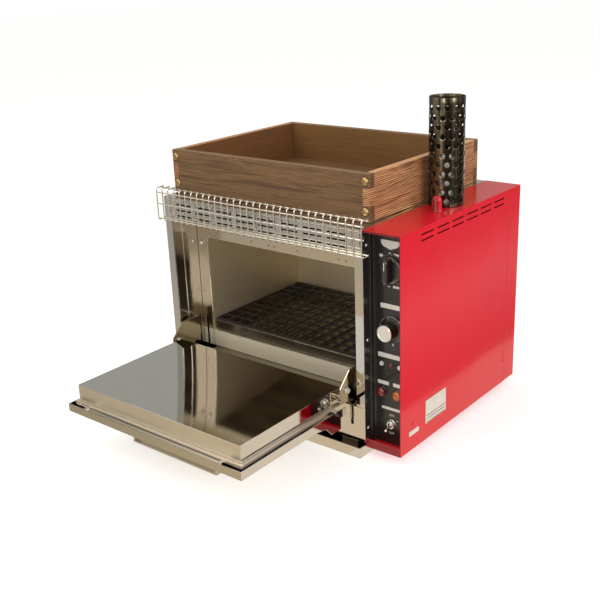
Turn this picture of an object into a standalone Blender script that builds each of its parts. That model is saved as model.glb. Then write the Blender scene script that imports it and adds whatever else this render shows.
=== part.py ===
"""Baked potato oven: a steel cabinet, a drop-down door, a wooden crate on top and a control box.

The oven frame has X to the right along the front, Y into the oven from the front plane and
Z up from the table.
"""

import math

import bmesh
import bpy
from mathutils import Matrix, Vector

# Sheet metal and clearances
SHEET = 0.0012
THICK_SHEET = 0.0015
GAP = 0.0003
OVERLAP = 0.0004
MERGE_DISTANCE = 0.00001
RIGHT_ANGLE = math.pi / 2
ROUND_SEGMENTS = 24
SMALL_SEGMENTS = 12

# Plinth and cabinet
CABINET_WIDTH = 0.386
CABINET_DEPTH = 0.344
CABINET_TOP = 0.342
PLINTH_HEIGHT = 0.0171
CABINET_LIFT = 0.004
PLINTH_OVERHANG = 0.0137
RAIL_WIDTH = 0.03
RAIL_INSET = 0.05
BORDER_WIDTH = 0.014
RECESS_DEPTH = 0.0535
LOUVRE_BAND = 0.036
LOWER_PANEL_HEIGHT = 0.0544
SILL_SHELF_INSET = 0.029

# Chamber opening and liner
FLANGE_SIDE = 0.0234
SILL_RISE = 0.029
HEADER_DROP = 0.0405
CHAMBER_FLOOR_DROP = 0.006
INSULATION_DEPTH = 0.06
LEDGE_WIDTH = 0.006

# Louvre panel
LOUVRE_COUNT = 8
LOUVRE_ROWS = 3
LOUVRE_SIDE_MARGIN = 0.0086
LOUVRE_LENGTH_SHARE = 0.775
LOUVRE_HEIGHT = 0.0024
LOUVRE_TOP_DROP = 0.0105
LOUVRE_ROW_SHARE = 0.253

# Wire guard of half-inch mesh
WIRE = 0.002
GUARD_PITCHES = 31
GUARD_INSET = 0.0022
GUARD_OVERHANG = 0.0077
GUARD_REACH = 0.016
GUARD_RISE = 0.0165
GUARD_HEIGHT = 0.0514
GUARD_TOP_RUNG_DROP = 0.0075
WIRE_SINK_SHARE = 0.4

# Tray and rack
TRAY_CLEARANCE = 0.0016
TRAY_SETBACK = 0.003
TRAY_BACK_CLEARANCE = 0.006
TRAY_HEIGHT = 0.0167
RACK_MARGIN = 0.002
RACK_THICKNESS = 0.0024
RACK_FRAME = 0.004
RACK_BAR = 0.003
RACK_COLUMNS = 14
RACK_ROWS = 10

# Door, open and resting; the hinge axis lies just behind the lower panel
HINGE_Y = 0.003
HINGE_DROP = 0.0153
PAN_TOP_CLEARANCE = 0.0016
DOOR_FOOT_CLEARANCE = 0.0048
BLOCK_BACK_CLEARANCE = 0.0014
BLOCK_SIDE_CLEARANCE = 0.0176
BLOCK_THICKNESS = 0.0251
BLOCK_SETBACK = 0.013
PLATE_OVERHANG = 0.0045
PAN_SIDE_CLEARANCE = 0.0064
PAN_SETBACK = 0.0114
PAN_RIM = 0.0125
PAN_HEM_INSET = 0.0356
PAN_HEM_WIDTH = 0.006
PAN_TAB_WIDTH = 0.0055
PAN_TAB_REACH = 0.0135
PAN_POST_INSET = 0.0526
PAN_POST_SETBACK = 0.0329
PAN_POST_WIDTH = 0.012
EAR_HANG = 0.0178
EAR_SETBACK = 0.0137
EAR_FOOT = 0.0216
EAR_SLOPE = 0.0136
EAR_TAPER = 0.0264
EAR_TAPER_DROP = 0.0035

# Door handle, below the open door
HANDLE_LENGTH_SHARE = 0.49
HANDLE_INSET = 0.0482
HANDLE_REACH = 0.0431
HANDLE_DEPTH = 0.012
HANDLE_THICKNESS = 0.003
HANDLE_BEVEL = 0.0008

# Door arms, measured from the hinge axis
ARM_THICKNESS = 0.002
ARM_SIDE_CLEARANCE = 0.0004
ARM_TOP_RISE = 0.0733
ARM_SHOULDER_REACH = 0.0083
ARM_BACK_REACH = 0.0325
ARM_BACK_RISE = 0.0398
ARM_NECK_BACK_REACH = 0.015
ARM_NECK_BACK_RISE = 0.0278
ARM_NECK_HALF = 0.0055
ARM_NECK_RISE = 0.0185
ARM_NECK_FRONT_REACH = 0.015
ARM_BOTTOM_RISE = 0.0263
ARM_FRONT_REACH = 0.0308
ARM_NOSE_RISE = 0.0508
LUG_RADIUS = 0.0078
ARM_BOLT_REACH = 0.0172
ARM_BOLT_RISE = 0.0445
BOLT_RADIUS = 0.0042
BOLT_HEIGHT = 0.0035
WASHER_RADIUS = 0.0056
WASHER_THICKNESS = 0.001
SPACER_RADIUS = 0.0045
SPACER_REACH = 0.0255
SPACER_RISE = 0.0363
NUT_SEGMENTS = 6

# Hinge pins, their yokes and the arms' slots
PIN_RADIUS = 0.0015
PIN_CLEARANCE = 0.0004
YOKE_DEPTH = 0.018
YOKE_BELOW_SLOT = 0.0037
CHEEK_CLEARANCE = 0.0014
ARM_SLOT_CLEARANCE = 0.0014
ARM_SLOT_DROP = 0.015
ARM_SWEEP_CLEARANCE = 0.0029

# Control box
CONTROL_WIDTH = 0.0603
CONTROL_EXTRA_DEPTH = 0.002
CONTROL_BOTTOM = 0.0154
COVER_DEPTH = 0.037
CONTROL_LIP = 0.0133
CONTROL_TOP_LIP = 0.003
PANEL_RECESS = 0.025
PANEL_FLANGE = 0.009
PANEL_SIDE_GAP = 0.001
SIDE_SLOT_COUNT = 6
SIDE_SLOT_ROWS = 2
SIDE_SLOT_FIRST = 0.052
SIDE_SLOT_LAST_MARGIN = 0.0086
SIDE_SLOT_LENGTH_SHARE = 0.785
SIDE_SLOT_HEIGHT = 0.0022
SIDE_SLOT_TOP_DROP = 0.0105
SIDE_SLOT_ROW_PITCH = 0.0085

# Things on the control panel, at shares of its height and off its middle line
TIMER_SHARE = 0.824
TIMER_DIAL_RADIUS = 0.0225
DIAL_THICKNESS = 0.0008
TIMER_SKIRT_RADIUS = 0.0195
TIMER_SKIRT_HEIGHT = 0.005
TIMER_GRIP_LENGTH = 0.036
TIMER_GRIP_WIDTH = 0.0105
TIMER_GRIP_HEIGHT = 0.013
TIMER_BEVEL = 0.0012
THERMOSTAT_SHARE = 0.556
THERMOSTAT_DIAL_RADIUS = 0.0205
THERMOSTAT_DIAL_HEIGHT = 0.002
THERMOSTAT_BODY_RADIUS = 0.0115
THERMOSTAT_BODY_HEIGHT = 0.018
THERMOSTAT_CAP_RADIUS = 0.0122
THERMOSTAT_CAP_HEIGHT = 0.0022
THERMOSTAT_BEVEL = 0.0007
INDICATOR_SHARE = 0.386
INDICATOR_SPACING = 0.0152
INDICATOR_OFFSET = 0.0023
INDICATOR_RADIUS = 0.0036
INDICATOR_MIDDLE_RADIUS = 0.0044
INDICATOR_DEPTH = 0.003
LAMP_SHARE = 0.2535
LAMP_SPACING = 0.0274
LAMP_OFFSET = 0.0035
LAMP_RADIUS = 0.0076
LAMP_CROWN_SHARE = 0.5
LAMP_DEPTH = 0.008
SWITCH_SHARE = 0.1023
SWITCH_OFFSET = 0.0017
SWITCH_NUT_RADIUS = 0.0068
SWITCH_NUT_DEPTH = 0.0035
LEVER_BASE_RADIUS = 0.0017
LEVER_TIP_RADIUS = 0.0027
LEVER_LENGTH = 0.0145
LEVER_PIVOT_DEPTH = 0.0031
LEVER_TILT = math.radians(20)
LEVER_BORE_RADIUS = 0.0031

# Rating plate on the right side
RATING_FRONT = 0.0655
RATING_LENGTH = 0.057
RATING_RISE = 0.0261
RATING_HEIGHT = 0.037
RATING_THICKNESS = 0.0005

# Chimney and post on the control box
CHIMNEY_OFFSET = 0.008
CHIMNEY_DEPTH_SHARE = 0.523
CHIMNEY_RADIUS = 0.026
CHIMNEY_WALL = 0.0012
CHIMNEY_HEIGHT = 0.1562
CHIMNEY_SEGMENTS = 36
HOLE_RADIUS = 0.0039
HOLE_ROWS = 11
HOLE_COLUMNS = 12
HOLE_FIRST_ROW = 0.0088
HOLE_TOP_BAND = 0.0144
HOLE_SEGMENTS = 6
FLUE_RADIUS = 0.019
FLUE_HEIGHT = 0.074
POST_OFFSET = 0.004
POST_DEPTH_SHARE = 0.39
POST_RADIUS = 0.0073
POST_CROWN_SHARE = 0.8
POST_HEIGHT = 0.022

# Cord inlet at the back of the control box
INLET_RISE = 0.0446
INLET_RADIUS = 0.0085
INLET_DEPTH = 0.009
INLET_BORE_RADIUS = 0.004

# Crate
CRATE_LEFT_OVERHANG = 0.0059
CRATE_RIGHT_MARGIN = 0.0094
CRATE_FRONT = 0.0317
CRATE_BACK_MARGIN = 0.0114
CRATE_HEIGHT = 0.0683
CRATE_WALL = 0.012
CRATE_FLOOR = 0.006
FINGER_LOW_SHARE = 1 / 3
FINGER_HIGH_SHARE = 0.3
NAIL_RADIUS = 0.006
NAIL_HEIGHT = 0.0028
NAIL_CROWN_SHARE = 0.6
NAIL_INSET = 0.0075
NAIL_UPPER_SHARE = 0.155
NAIL_LOWER_SHARE = 0.225

# What follows from the sizes above
HALF_WIDTH = CABINET_WIDTH / 2
CABINET_FLOOR = PLINTH_HEIGHT + CABINET_LIFT
RECESS_HALF = HALF_WIDTH - BORDER_WIDTH
INNER_HALF = HALF_WIDTH - SHEET
RECESS_CEILING = CABINET_TOP - LOUVRE_BAND
LOWER_PANEL_TOP = CABINET_FLOOR + LOWER_PANEL_HEIGHT
SILL_SHELF_HALF_WIDTH = RECESS_HALF - SILL_SHELF_INSET
OPENING_HALF_WIDTH = RECESS_HALF - FLANGE_SIDE
SILL_TOP = LOWER_PANEL_TOP + SILL_RISE
HEADER_BOTTOM = RECESS_CEILING - HEADER_DROP
CHAMBER_FLOOR = SILL_TOP - CHAMBER_FLOOR_DROP
CHAMBER_BACK = CABINET_DEPTH - INSULATION_DEPTH
LOUVRE_PITCH = 2 * (RECESS_HALF - LOUVRE_SIDE_MARGIN) / LOUVRE_COUNT
LOUVRE_LENGTH = LOUVRE_PITCH * LOUVRE_LENGTH_SHARE
LOUVRE_TOP_ROW = CABINET_TOP - LOUVRE_TOP_DROP
LOUVRE_ROW_PITCH = LOUVRE_BAND * LOUVRE_ROW_SHARE
GUARD_PITCH = (CABINET_WIDTH + GUARD_OVERHANG) / GUARD_PITCHES
GUARD_LEFT = -HALF_WIDTH + GUARD_INSET
GUARD_RIGHT = GUARD_LEFT + GUARD_PITCHES * GUARD_PITCH
GUARD_FRONT = -GUARD_REACH
GUARD_BACK = -GAP
GUARD_TOP = CABINET_TOP + GUARD_RISE
GUARD_BOTTOM = GUARD_TOP - GUARD_HEIGHT
TRAY_HALF_WIDTH = OPENING_HALF_WIDTH - TRAY_CLEARANCE
TRAY_FRONT = RECESS_DEPTH + TRAY_SETBACK
TRAY_BACK = CHAMBER_BACK - TRAY_BACK_CLEARANCE
TRAY_BOTTOM = SILL_TOP + GAP
TRAY_RIM = TRAY_BOTTOM + TRAY_HEIGHT
LEDGE_TOP = TRAY_BOTTOM - GAP
RACK_BOTTOM = TRAY_RIM + GAP
HINGE_Z = LOWER_PANEL_TOP - HINGE_DROP
DOOR_TOP = HINGE_Z - HINGE_Y + RECESS_DEPTH - BLOCK_BACK_CLEARANCE
BLOCK_BOTTOM = DOOR_TOP - BLOCK_THICKNESS
BLOCK_HALF_WIDTH = RECESS_HALF - BLOCK_SIDE_CLEARANCE
PAN_FRONT = HINGE_Y + HINGE_Z + PAN_TOP_CLEARANCE - RECESS_CEILING
BLOCK_FRONT = PAN_FRONT + BLOCK_SETBACK
BLOCK_BACK = HINGE_Y + HINGE_Z - LOWER_PANEL_TOP - DOOR_FOOT_CLEARANCE
PAN_HALF_WIDTH = RECESS_HALF - PAN_SIDE_CLEARANCE
PAN_BOTTOM = HINGE_Z - HINGE_Y + PAN_SETBACK
PAN_RIM_TOP = PAN_BOTTOM + PAN_RIM
EAR_BOTTOM = PAN_BOTTOM - EAR_HANG
EAR_BACK = BLOCK_BACK - EAR_SETBACK
EAR_TOE = EAR_BACK - EAR_FOOT
EAR_MIDDLE = EAR_TOE - EAR_SLOPE
EAR_HEEL = EAR_MIDDLE - EAR_TAPER
HANDLE_HALF_WIDTH = PAN_HALF_WIDTH * HANDLE_LENGTH_SHARE
HANDLE_Y = PAN_FRONT + HANDLE_INSET
HANDLE_BOTTOM = PAN_BOTTOM - HANDLE_REACH
ARM_MIDDLE = PAN_HALF_WIDTH - SHEET - ARM_SIDE_CLEARANCE - ARM_THICKNESS / 2
ARM_SLOT_HALF = ARM_THICKNESS / 2 + ARM_SLOT_CLEARANCE
ARM_SLOT_BOTTOM = HINGE_Z - ARM_SLOT_DROP
ARM_SWEEP = math.hypot(ARM_TOP_RISE, ARM_BACK_REACH)
FLANGE_SLOT_TOP = HINGE_Z + math.sqrt(ARM_SWEEP**2 - (RECESS_DEPTH - HINGE_Y) ** 2) + ARM_SWEEP_CLEARANCE
YOKE_BOTTOM = ARM_SLOT_BOTTOM - YOKE_BELOW_SLOT
YOKE_TOP = LOWER_PANEL_TOP - SHEET - GAP
CONTROL_LEFT = HALF_WIDTH + GAP
CONTROL_RIGHT = CONTROL_LEFT + CONTROL_WIDTH
CONTROL_DEPTH = CABINET_DEPTH + CONTROL_EXTRA_DEPTH
CONTROL_SEAM = CONTROL_DEPTH - COVER_DEPTH
CONTROL_HEIGHT = CABINET_TOP - CONTROL_BOTTOM
SIDE_SLOT_PITCH = (CONTROL_SEAM - SIDE_SLOT_FIRST - SIDE_SLOT_LAST_MARGIN) / SIDE_SLOT_COUNT
SIDE_SLOT_LENGTH = SIDE_SLOT_PITCH * SIDE_SLOT_LENGTH_SHARE
SIDE_SLOT_TOP_ROW = CABINET_TOP - SIDE_SLOT_TOP_DROP
PANEL_FACE = PANEL_RECESS
PANEL_CENTRE = CONTROL_LEFT + CONTROL_WIDTH / 2
TIMER_HEIGHT = CONTROL_BOTTOM + CONTROL_HEIGHT * TIMER_SHARE
THERMOSTAT_HEIGHT = CONTROL_BOTTOM + CONTROL_HEIGHT * THERMOSTAT_SHARE
INDICATOR_HEIGHT = CONTROL_BOTTOM + CONTROL_HEIGHT * INDICATOR_SHARE
LAMP_HEIGHT = CONTROL_BOTTOM + CONTROL_HEIGHT * LAMP_SHARE
SWITCH_HEIGHT = CONTROL_BOTTOM + CONTROL_HEIGHT * SWITCH_SHARE
INDICATOR_MIDDLE = PANEL_CENTRE - INDICATOR_OFFSET
LAMP_MIDDLE = PANEL_CENTRE - LAMP_OFFSET
SWITCH_X = PANEL_CENTRE - SWITCH_OFFSET
RATING_BOTTOM = CONTROL_BOTTOM + RATING_RISE
CHIMNEY_X = PANEL_CENTRE - CHIMNEY_OFFSET
CHIMNEY_Y = CONTROL_DEPTH * CHIMNEY_DEPTH_SHARE
CHIMNEY_BOTTOM = CABINET_TOP + GAP
HOLE_ROW_PITCH = (CHIMNEY_HEIGHT - HOLE_FIRST_ROW - HOLE_TOP_BAND) / (HOLE_ROWS - 1)
POST_X = PANEL_CENTRE + POST_OFFSET
POST_Y = CONTROL_DEPTH * POST_DEPTH_SHARE
INLET_HEIGHT = CONTROL_BOTTOM + INLET_RISE
CRATE_LEFT = -HALF_WIDTH - CRATE_LEFT_OVERHANG
CRATE_RIGHT = HALF_WIDTH - CRATE_RIGHT_MARGIN
CRATE_BACK = CABINET_DEPTH - CRATE_BACK_MARGIN
CRATE_BOTTOM = CABINET_TOP + GAP
CRATE_TOP = CRATE_BOTTOM + CRATE_HEIGHT
FINGER_LOW = CRATE_BOTTOM + CRATE_HEIGHT * FINGER_LOW_SHARE
FINGER_HIGH = CRATE_TOP - CRATE_HEIGHT * FINGER_HIGH_SHARE

for old in list(bpy.data.objects):
    bpy.data.objects.remove(old, do_unlink=True)

parts = bpy.data.collections.new("baked_potato_oven")
bpy.context.scene.collection.children.link(parts)
cutters = bpy.data.collections.new("cutters")
cutters.hide_render = True
bpy.context.scene.collection.children.link(cutters)


def finish(name, colour, roughness, metallic):
    """A plain material for one kind of surface."""
    material = bpy.data.materials.new(name)
    material.use_nodes = True
    shader = material.node_tree.nodes["Principled BSDF"]
    shader.inputs["Base Color"].default_value = (*colour, 1.0)
    shader.inputs["Roughness"].default_value = roughness
    shader.inputs["Metallic"].default_value = metallic
    return material


FINISHES = {
    "steel": ((0.74, 0.72, 0.68), 0.12, 1.0),
    "satin": ((0.62, 0.59, 0.53), 0.32, 1.0),
    "zinc": ((0.66, 0.64, 0.58), 0.3, 1.0),
    "iron": ((0.03, 0.028, 0.026), 0.55, 0.6),
    "red": ((0.62, 0.012, 0.03), 0.22, 0.0),
    "black": ((0.012, 0.012, 0.013), 0.3, 0.0),
    "knob": ((0.015, 0.015, 0.016), 0.35, 0.0),
    "silver": ((0.8, 0.79, 0.76), 0.25, 1.0),
    "white": ((0.82, 0.8, 0.74), 0.5, 0.0),
    "ruby": ((0.35, 0.006, 0.012), 0.15, 0.0),
    "amber": ((0.75, 0.2, 0.02), 0.15, 0.0),
    "plum": ((0.12, 0.02, 0.05), 0.2, 0.0),
    "smoked": ((0.09, 0.08, 0.065), 0.18, 1.0),
    "wood": ((0.2, 0.1, 0.045), 0.55, 0.0),
    "brass": ((0.72, 0.5, 0.2), 0.25, 1.0),
    "rubber": ((0.02, 0.02, 0.02), 0.7, 0.0),
}


def empty(name, location, parent):
    holder = bpy.data.objects.new(name, None)
    holder.location = location
    holder.parent = parent
    parts.objects.link(holder)
    return holder


# The origin is the middle of the plinth's underside.
oven = empty("oven", (0, -(CABINET_DEPTH - PLINTH_OVERHANG) / 2, 0), None)
door = empty("door", (0, HINGE_Y, HINGE_Z), oven)
timer = empty("timer", (PANEL_CENTRE, PANEL_FACE, TIMER_HEIGHT), oven)
thermostat = empty("thermostat", (PANEL_CENTRE, PANEL_FACE, THERMOSTAT_HEIGHT), oven)
switch = empty("switch", (SWITCH_X, PANEL_FACE - LEVER_PIVOT_DEPTH, SWITCH_HEIGHT), oven)


def home_of(holder):
    """Where a holder's origin lies in the oven frame."""
    return Vector((0, 0, 0)) if holder is oven else holder.location.copy()


def settle(obj, name, look, holder, place):
    """Names an object and puts it in its collection at a place given in the oven frame."""
    obj.name = name
    obj.data.name = name
    for group in list(obj.users_collection):
        group.objects.unlink(obj)
    if look is None:
        cutters.objects.link(obj)
        obj.hide_render = True
        obj.display_type = "WIRE"
    else:
        parts.objects.link(obj)
        obj.data.materials.clear()
        obj.data.materials.append(finish(name, *FINISHES[look]))
    obj.parent = holder
    obj.location = Vector(place) - home_of(holder)
    return obj


def box(name, low, high, look, holder=oven):
    """A box between two corners."""
    low = Vector(low)
    high = Vector(high)
    bpy.ops.mesh.primitive_cube_add(location=(0, 0, 0))
    obj = bpy.context.active_object
    obj.scale = (high - low) / 2
    bpy.ops.object.transform_apply(location=False, rotation=False, scale=True)
    return settle(obj, name, look, holder, (low + high) / 2)


def boxes(name, corners, look, holder=oven):
    """Separate boxes in one mesh, each given by two corners."""
    mesh = bmesh.new()
    for low, high in corners:
        size = Vector(high) - Vector(low)
        middle = (Vector(high) + Vector(low)) / 2
        place = Matrix.Translation(middle) @ Matrix.Diagonal((*size, 1.0))
        bmesh.ops.create_cube(mesh, matrix=place)
    data = bpy.data.meshes.new(name)
    mesh.to_mesh(data)
    mesh.free()
    obj = bpy.data.objects.new(name, data)
    bpy.context.scene.collection.objects.link(obj)
    return settle(obj, name, look, holder, (0, 0, 0))


TURNS = {
    "X": Matrix.Rotation(RIGHT_ANGLE, 4, "Y"),
    "Y": Matrix.Rotation(RIGHT_ANGLE, 4, "X"),
    "Z": Matrix.Identity(4),
}


def rod(name, radius, length, centre, axis, look, holder=oven, segments=ROUND_SEGMENTS, tip=None):
    """A cylinder about an axis, or a cone whose far end has radius tip.

    Along Y its far end is the one nearer the viewer.
    """
    mesh = bmesh.new()
    bmesh.ops.create_cone(
        mesh,
        cap_ends=True,
        segments=segments,
        radius1=radius,
        radius2=radius if tip is None else tip,
        depth=length,
    )
    data = bpy.data.meshes.new(name)
    mesh.to_mesh(data)
    mesh.free()
    for face in data.polygons:
        face.use_smooth = len(face.vertices) == 4
    obj = bpy.data.objects.new(name, data)
    bpy.context.scene.collection.objects.link(obj)
    obj.rotation_euler = TURNS[axis].to_euler()
    return settle(obj, name, look, holder, centre)


PLANES = {
    "XY": (0, 0, 0),
    "XZ": (RIGHT_ANGLE, 0, 0),
    "YZ": (RIGHT_ANGLE, 0, RIGHT_ANGLE),
}


def plate(name, points, plane, low, high, look, holder=oven):
    """A flat outline in a plane of the oven frame, filled and thickened from low to high across it."""
    curve = bpy.data.curves.new(name, "CURVE")
    curve.dimensions = "2D"
    curve.fill_mode = "BOTH"
    curve.extrude = (high - low) / 2
    spline = curve.splines.new("POLY")
    spline.points.add(len(points) - 1)
    first = Vector((*points[0], 0))
    for point, (across, up) in zip(spline.points, points):
        point.co = (Vector((across, up, 0)) - first).to_4d()
    spline.use_cyclic_u = True
    guide = bpy.data.objects.new(name, curve)
    bpy.context.scene.collection.objects.link(guide)
    graph = bpy.context.evaluated_depsgraph_get()
    data = bpy.data.meshes.new_from_object(guide.evaluated_get(graph))
    bpy.data.objects.remove(guide, do_unlink=True)
    bpy.data.curves.remove(curve)
    mesh = bmesh.new()
    mesh.from_mesh(data)
    bmesh.ops.remove_doubles(mesh, verts=mesh.verts, dist=MERGE_DISTANCE)
    bmesh.ops.recalc_face_normals(mesh, faces=mesh.faces)
    mesh.to_mesh(data)
    mesh.free()
    obj = bpy.data.objects.new(name, data)
    bpy.context.scene.collection.objects.link(obj)
    obj.rotation_euler = PLANES[plane]
    middle = (low + high) / 2
    place = {
        "XY": (first.x, first.y, middle),
        "XZ": (first.x, middle, first.y),
        "YZ": (middle, first.x, first.y),
    }[plane]
    return settle(obj, name, look, holder, place)


def combine(obj, other, how):
    modifier = obj.modifiers.new(how.lower(), "BOOLEAN")
    modifier.operation = how
    modifier.solver = "EXACT"
    modifier.object = other


def cut(obj, other):
    combine(obj, other, "DIFFERENCE")


def add(obj, other):
    combine(obj, other, "UNION")


def round_edges(obj, width, segments=2, angle=math.radians(40)):
    modifier = obj.modifiers.new("rounded", "BEVEL")
    modifier.width = width
    modifier.segments = segments
    modifier.limit_method = "ANGLE"
    modifier.angle_limit = angle


# Plinth: a shallow folded tray, and the two rails that carry the cabinet over it
plinth = box(
    "plinth",
    (-HALF_WIDTH, -PLINTH_OVERHANG, 0),
    (HALF_WIDTH, CABINET_DEPTH, PLINTH_HEIGHT),
    "steel",
)
cut(
    plinth,
    box(
        "plinth_hollow",
        (-HALF_WIDTH + THICK_SHEET, -PLINTH_OVERHANG + THICK_SHEET, THICK_SHEET),
        (HALF_WIDTH - THICK_SHEET, CABINET_DEPTH - THICK_SHEET, PLINTH_HEIGHT + OVERLAP),
        None,
    ),
)
for side, sign in (("left", -1), ("right", 1)):
    near = sign * (HALF_WIDTH - RAIL_INSET)
    far = near - sign * RAIL_WIDTH
    box(
        f"plinth_rail_{side}",
        (min(near, far), RAIL_INSET, THICK_SHEET + GAP),
        (max(near, far), CABINET_DEPTH - RAIL_INSET, CABINET_FLOOR - GAP),
        "satin",
    )

# Cabinet shell: sides, top and the two upright borders of the front
shell = plate(
    "cabinet_shell",
    [
        (-HALF_WIDTH, CABINET_FLOOR),
        (-HALF_WIDTH, CABINET_TOP),
        (HALF_WIDTH, CABINET_TOP),
        (HALF_WIDTH, CABINET_FLOOR),
        (INNER_HALF, CABINET_FLOOR),
        (INNER_HALF, CABINET_TOP - SHEET),
        (-INNER_HALF, CABINET_TOP - SHEET),
        (-INNER_HALF, CABINET_FLOOR),
    ],
    "XZ",
    0,
    CABINET_DEPTH - SHEET - GAP,
    "steel",
)
add(
    shell,
    boxes(
        "borders",
        [
            (
                (-HALF_WIDTH + OVERLAP, 0, LOWER_PANEL_TOP + GAP),
                (-RECESS_HALF, SHEET, CABINET_TOP - OVERLAP),
            ),
            (
                (RECESS_HALF, 0, LOWER_PANEL_TOP + GAP),
                (HALF_WIDTH - OVERLAP, SHEET, CABINET_TOP - OVERLAP),
            ),
        ],
        None,
    ),
)
cut(
    shell,
    box(
        "lower_panel_room",
        (-HALF_WIDTH - OVERLAP, -OVERLAP, CABINET_FLOOR - OVERLAP),
        (HALF_WIDTH + OVERLAP, SHEET + GAP, LOWER_PANEL_TOP + GAP),
        None,
    ),
)
box(
    "cabinet_floor",
    (-INNER_HALF + GAP, SHEET + GAP, CABINET_FLOOR),
    (INNER_HALF - GAP, CABINET_DEPTH - SHEET - GAP, CABINET_FLOOR + SHEET),
    "steel",
)
box(
    "cabinet_back",
    (-HALF_WIDTH, CABINET_DEPTH - SHEET, CABINET_FLOOR),
    (HALF_WIDTH, CABINET_DEPTH, CABINET_TOP),
    "steel",
)

# Lower front panel with its sill shelf; the door's arms swing through its two slots
lower = box(
    "lower_front_panel",
    (-HALF_WIDTH, 0, CABINET_FLOOR),
    (HALF_WIDTH, SHEET, LOWER_PANEL_TOP),
    "steel",
)
add(
    lower,
    box(
        "sill_shelf",
        (-SILL_SHELF_HALF_WIDTH, OVERLAP, LOWER_PANEL_TOP - SHEET),
        (SILL_SHELF_HALF_WIDTH, RECESS_DEPTH - GAP, LOWER_PANEL_TOP - GAP),
        None,
    ),
)
slots = []
flange_slots = []
for sign in (-1, 1):
    centre = sign * ARM_MIDDLE
    left = centre - ARM_SLOT_HALF
    right = centre + ARM_SLOT_HALF
    slots.append(((left, -OVERLAP, ARM_SLOT_BOTTOM), (right, SHEET + OVERLAP, LOWER_PANEL_TOP + OVERLAP)))
    flange_slots.append(
        (
            (left, RECESS_DEPTH - OVERLAP, LOWER_PANEL_TOP - OVERLAP),
            (right, RECESS_DEPTH + SHEET + OVERLAP, FLANGE_SLOT_TOP),
        )
    )
cut(lower, boxes("arm_slots", slots, None))

# Louvre panel over the opening
louvre = box(
    "louvre_panel",
    (-RECESS_HALF + GAP, 0, RECESS_CEILING),
    (RECESS_HALF - GAP, SHEET, CABINET_TOP - SHEET - GAP),
    "steel",
)
louvres = []
for column in range(LOUVRE_COUNT):
    middle = (column - (LOUVRE_COUNT - 1) / 2) * LOUVRE_PITCH
    for row in range(LOUVRE_ROWS):
        height = LOUVRE_TOP_ROW - row * LOUVRE_ROW_PITCH
        louvres.append(
            (
                (middle - LOUVRE_LENGTH / 2, -OVERLAP, height - LOUVRE_HEIGHT / 2),
                (middle + LOUVRE_LENGTH / 2, SHEET + OVERLAP, height + LOUVRE_HEIGHT / 2),
            )
        )
cut(louvre, boxes("louvre_slots", louvres, None))

# Recess around the closed door: two walls and a ceiling
plate(
    "recess_liner",
    [
        (-RECESS_HALF, LOWER_PANEL_TOP + GAP),
        (-RECESS_HALF, RECESS_CEILING),
        (RECESS_HALF, RECESS_CEILING),
        (RECESS_HALF, LOWER_PANEL_TOP + GAP),
        (RECESS_HALF + SHEET, LOWER_PANEL_TOP + GAP),
        (RECESS_HALF + SHEET, RECESS_CEILING + SHEET),
        (-RECESS_HALF - SHEET, RECESS_CEILING + SHEET),
        (-RECESS_HALF - SHEET, LOWER_PANEL_TOP + GAP),
    ],
    "XZ",
    SHEET + GAP,
    RECESS_DEPTH - GAP,
    "steel",
)

# Inner flange with the opening of the chamber
flange = box(
    "inner_flange",
    (-RECESS_HALF, RECESS_DEPTH, LOWER_PANEL_TOP),
    (RECESS_HALF, RECESS_DEPTH + SHEET, RECESS_CEILING + SHEET),
    "steel",
)
cut(
    flange,
    boxes(
        "chamber_opening",
        [
            (
                (-OPENING_HALF_WIDTH, RECESS_DEPTH - OVERLAP, SILL_TOP),
                (OPENING_HALF_WIDTH, RECESS_DEPTH + SHEET + OVERLAP, HEADER_BOTTOM),
            ),
            *flange_slots,
        ],
        None,
    ),
)

# Chamber liner with two ledges for the tray
LINER_FRONT = RECESS_DEPTH + SHEET + GAP
liner = box(
    "chamber_liner",
    (-OPENING_HALF_WIDTH - SHEET, LINER_FRONT, CHAMBER_FLOOR - SHEET),
    (OPENING_HALF_WIDTH + SHEET, CHAMBER_BACK + SHEET, HEADER_BOTTOM + SHEET),
    "satin",
)
cut(
    liner,
    box(
        "chamber_room",
        (-OPENING_HALF_WIDTH, LINER_FRONT - OVERLAP, CHAMBER_FLOOR),
        (OPENING_HALF_WIDTH, CHAMBER_BACK, HEADER_BOTTOM),
        None,
    ),
)
add(
    liner,
    boxes(
        "ledges",
        [
            (
                (-OPENING_HALF_WIDTH - OVERLAP, LINER_FRONT, CHAMBER_FLOOR - OVERLAP),
                (-OPENING_HALF_WIDTH + LEDGE_WIDTH, CHAMBER_BACK + OVERLAP, LEDGE_TOP),
            ),
            (
                (OPENING_HALF_WIDTH - LEDGE_WIDTH, LINER_FRONT, CHAMBER_FLOOR - OVERLAP),
                (OPENING_HALF_WIDTH + OVERLAP, CHAMBER_BACK + OVERLAP, LEDGE_TOP),
            ),
        ],
        None,
    ),
)

# Tray, and the black rack that lies on its rim
tray = box(
    "tray",
    (-TRAY_HALF_WIDTH, TRAY_FRONT, TRAY_BOTTOM),
    (TRAY_HALF_WIDTH, TRAY_BACK, TRAY_RIM),
    "steel",
)
cut(
    tray,
    box(
        "tray_room",
        (-TRAY_HALF_WIDTH + SHEET, TRAY_FRONT + SHEET, TRAY_BOTTOM + SHEET),
        (TRAY_HALF_WIDTH - SHEET, TRAY_BACK - SHEET, TRAY_RIM + OVERLAP),
        None,
    ),
)
rack_half = TRAY_HALF_WIDTH - GAP
rack_front = TRAY_FRONT + RACK_MARGIN
rack_back = TRAY_BACK - GAP
rack = box(
    "rack",
    (-rack_half, rack_front, RACK_BOTTOM),
    (rack_half, rack_back, RACK_BOTTOM + RACK_THICKNESS),
    "iron",
)
hole_width = (2 * (rack_half - RACK_FRAME) - (RACK_COLUMNS - 1) * RACK_BAR) / RACK_COLUMNS
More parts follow.
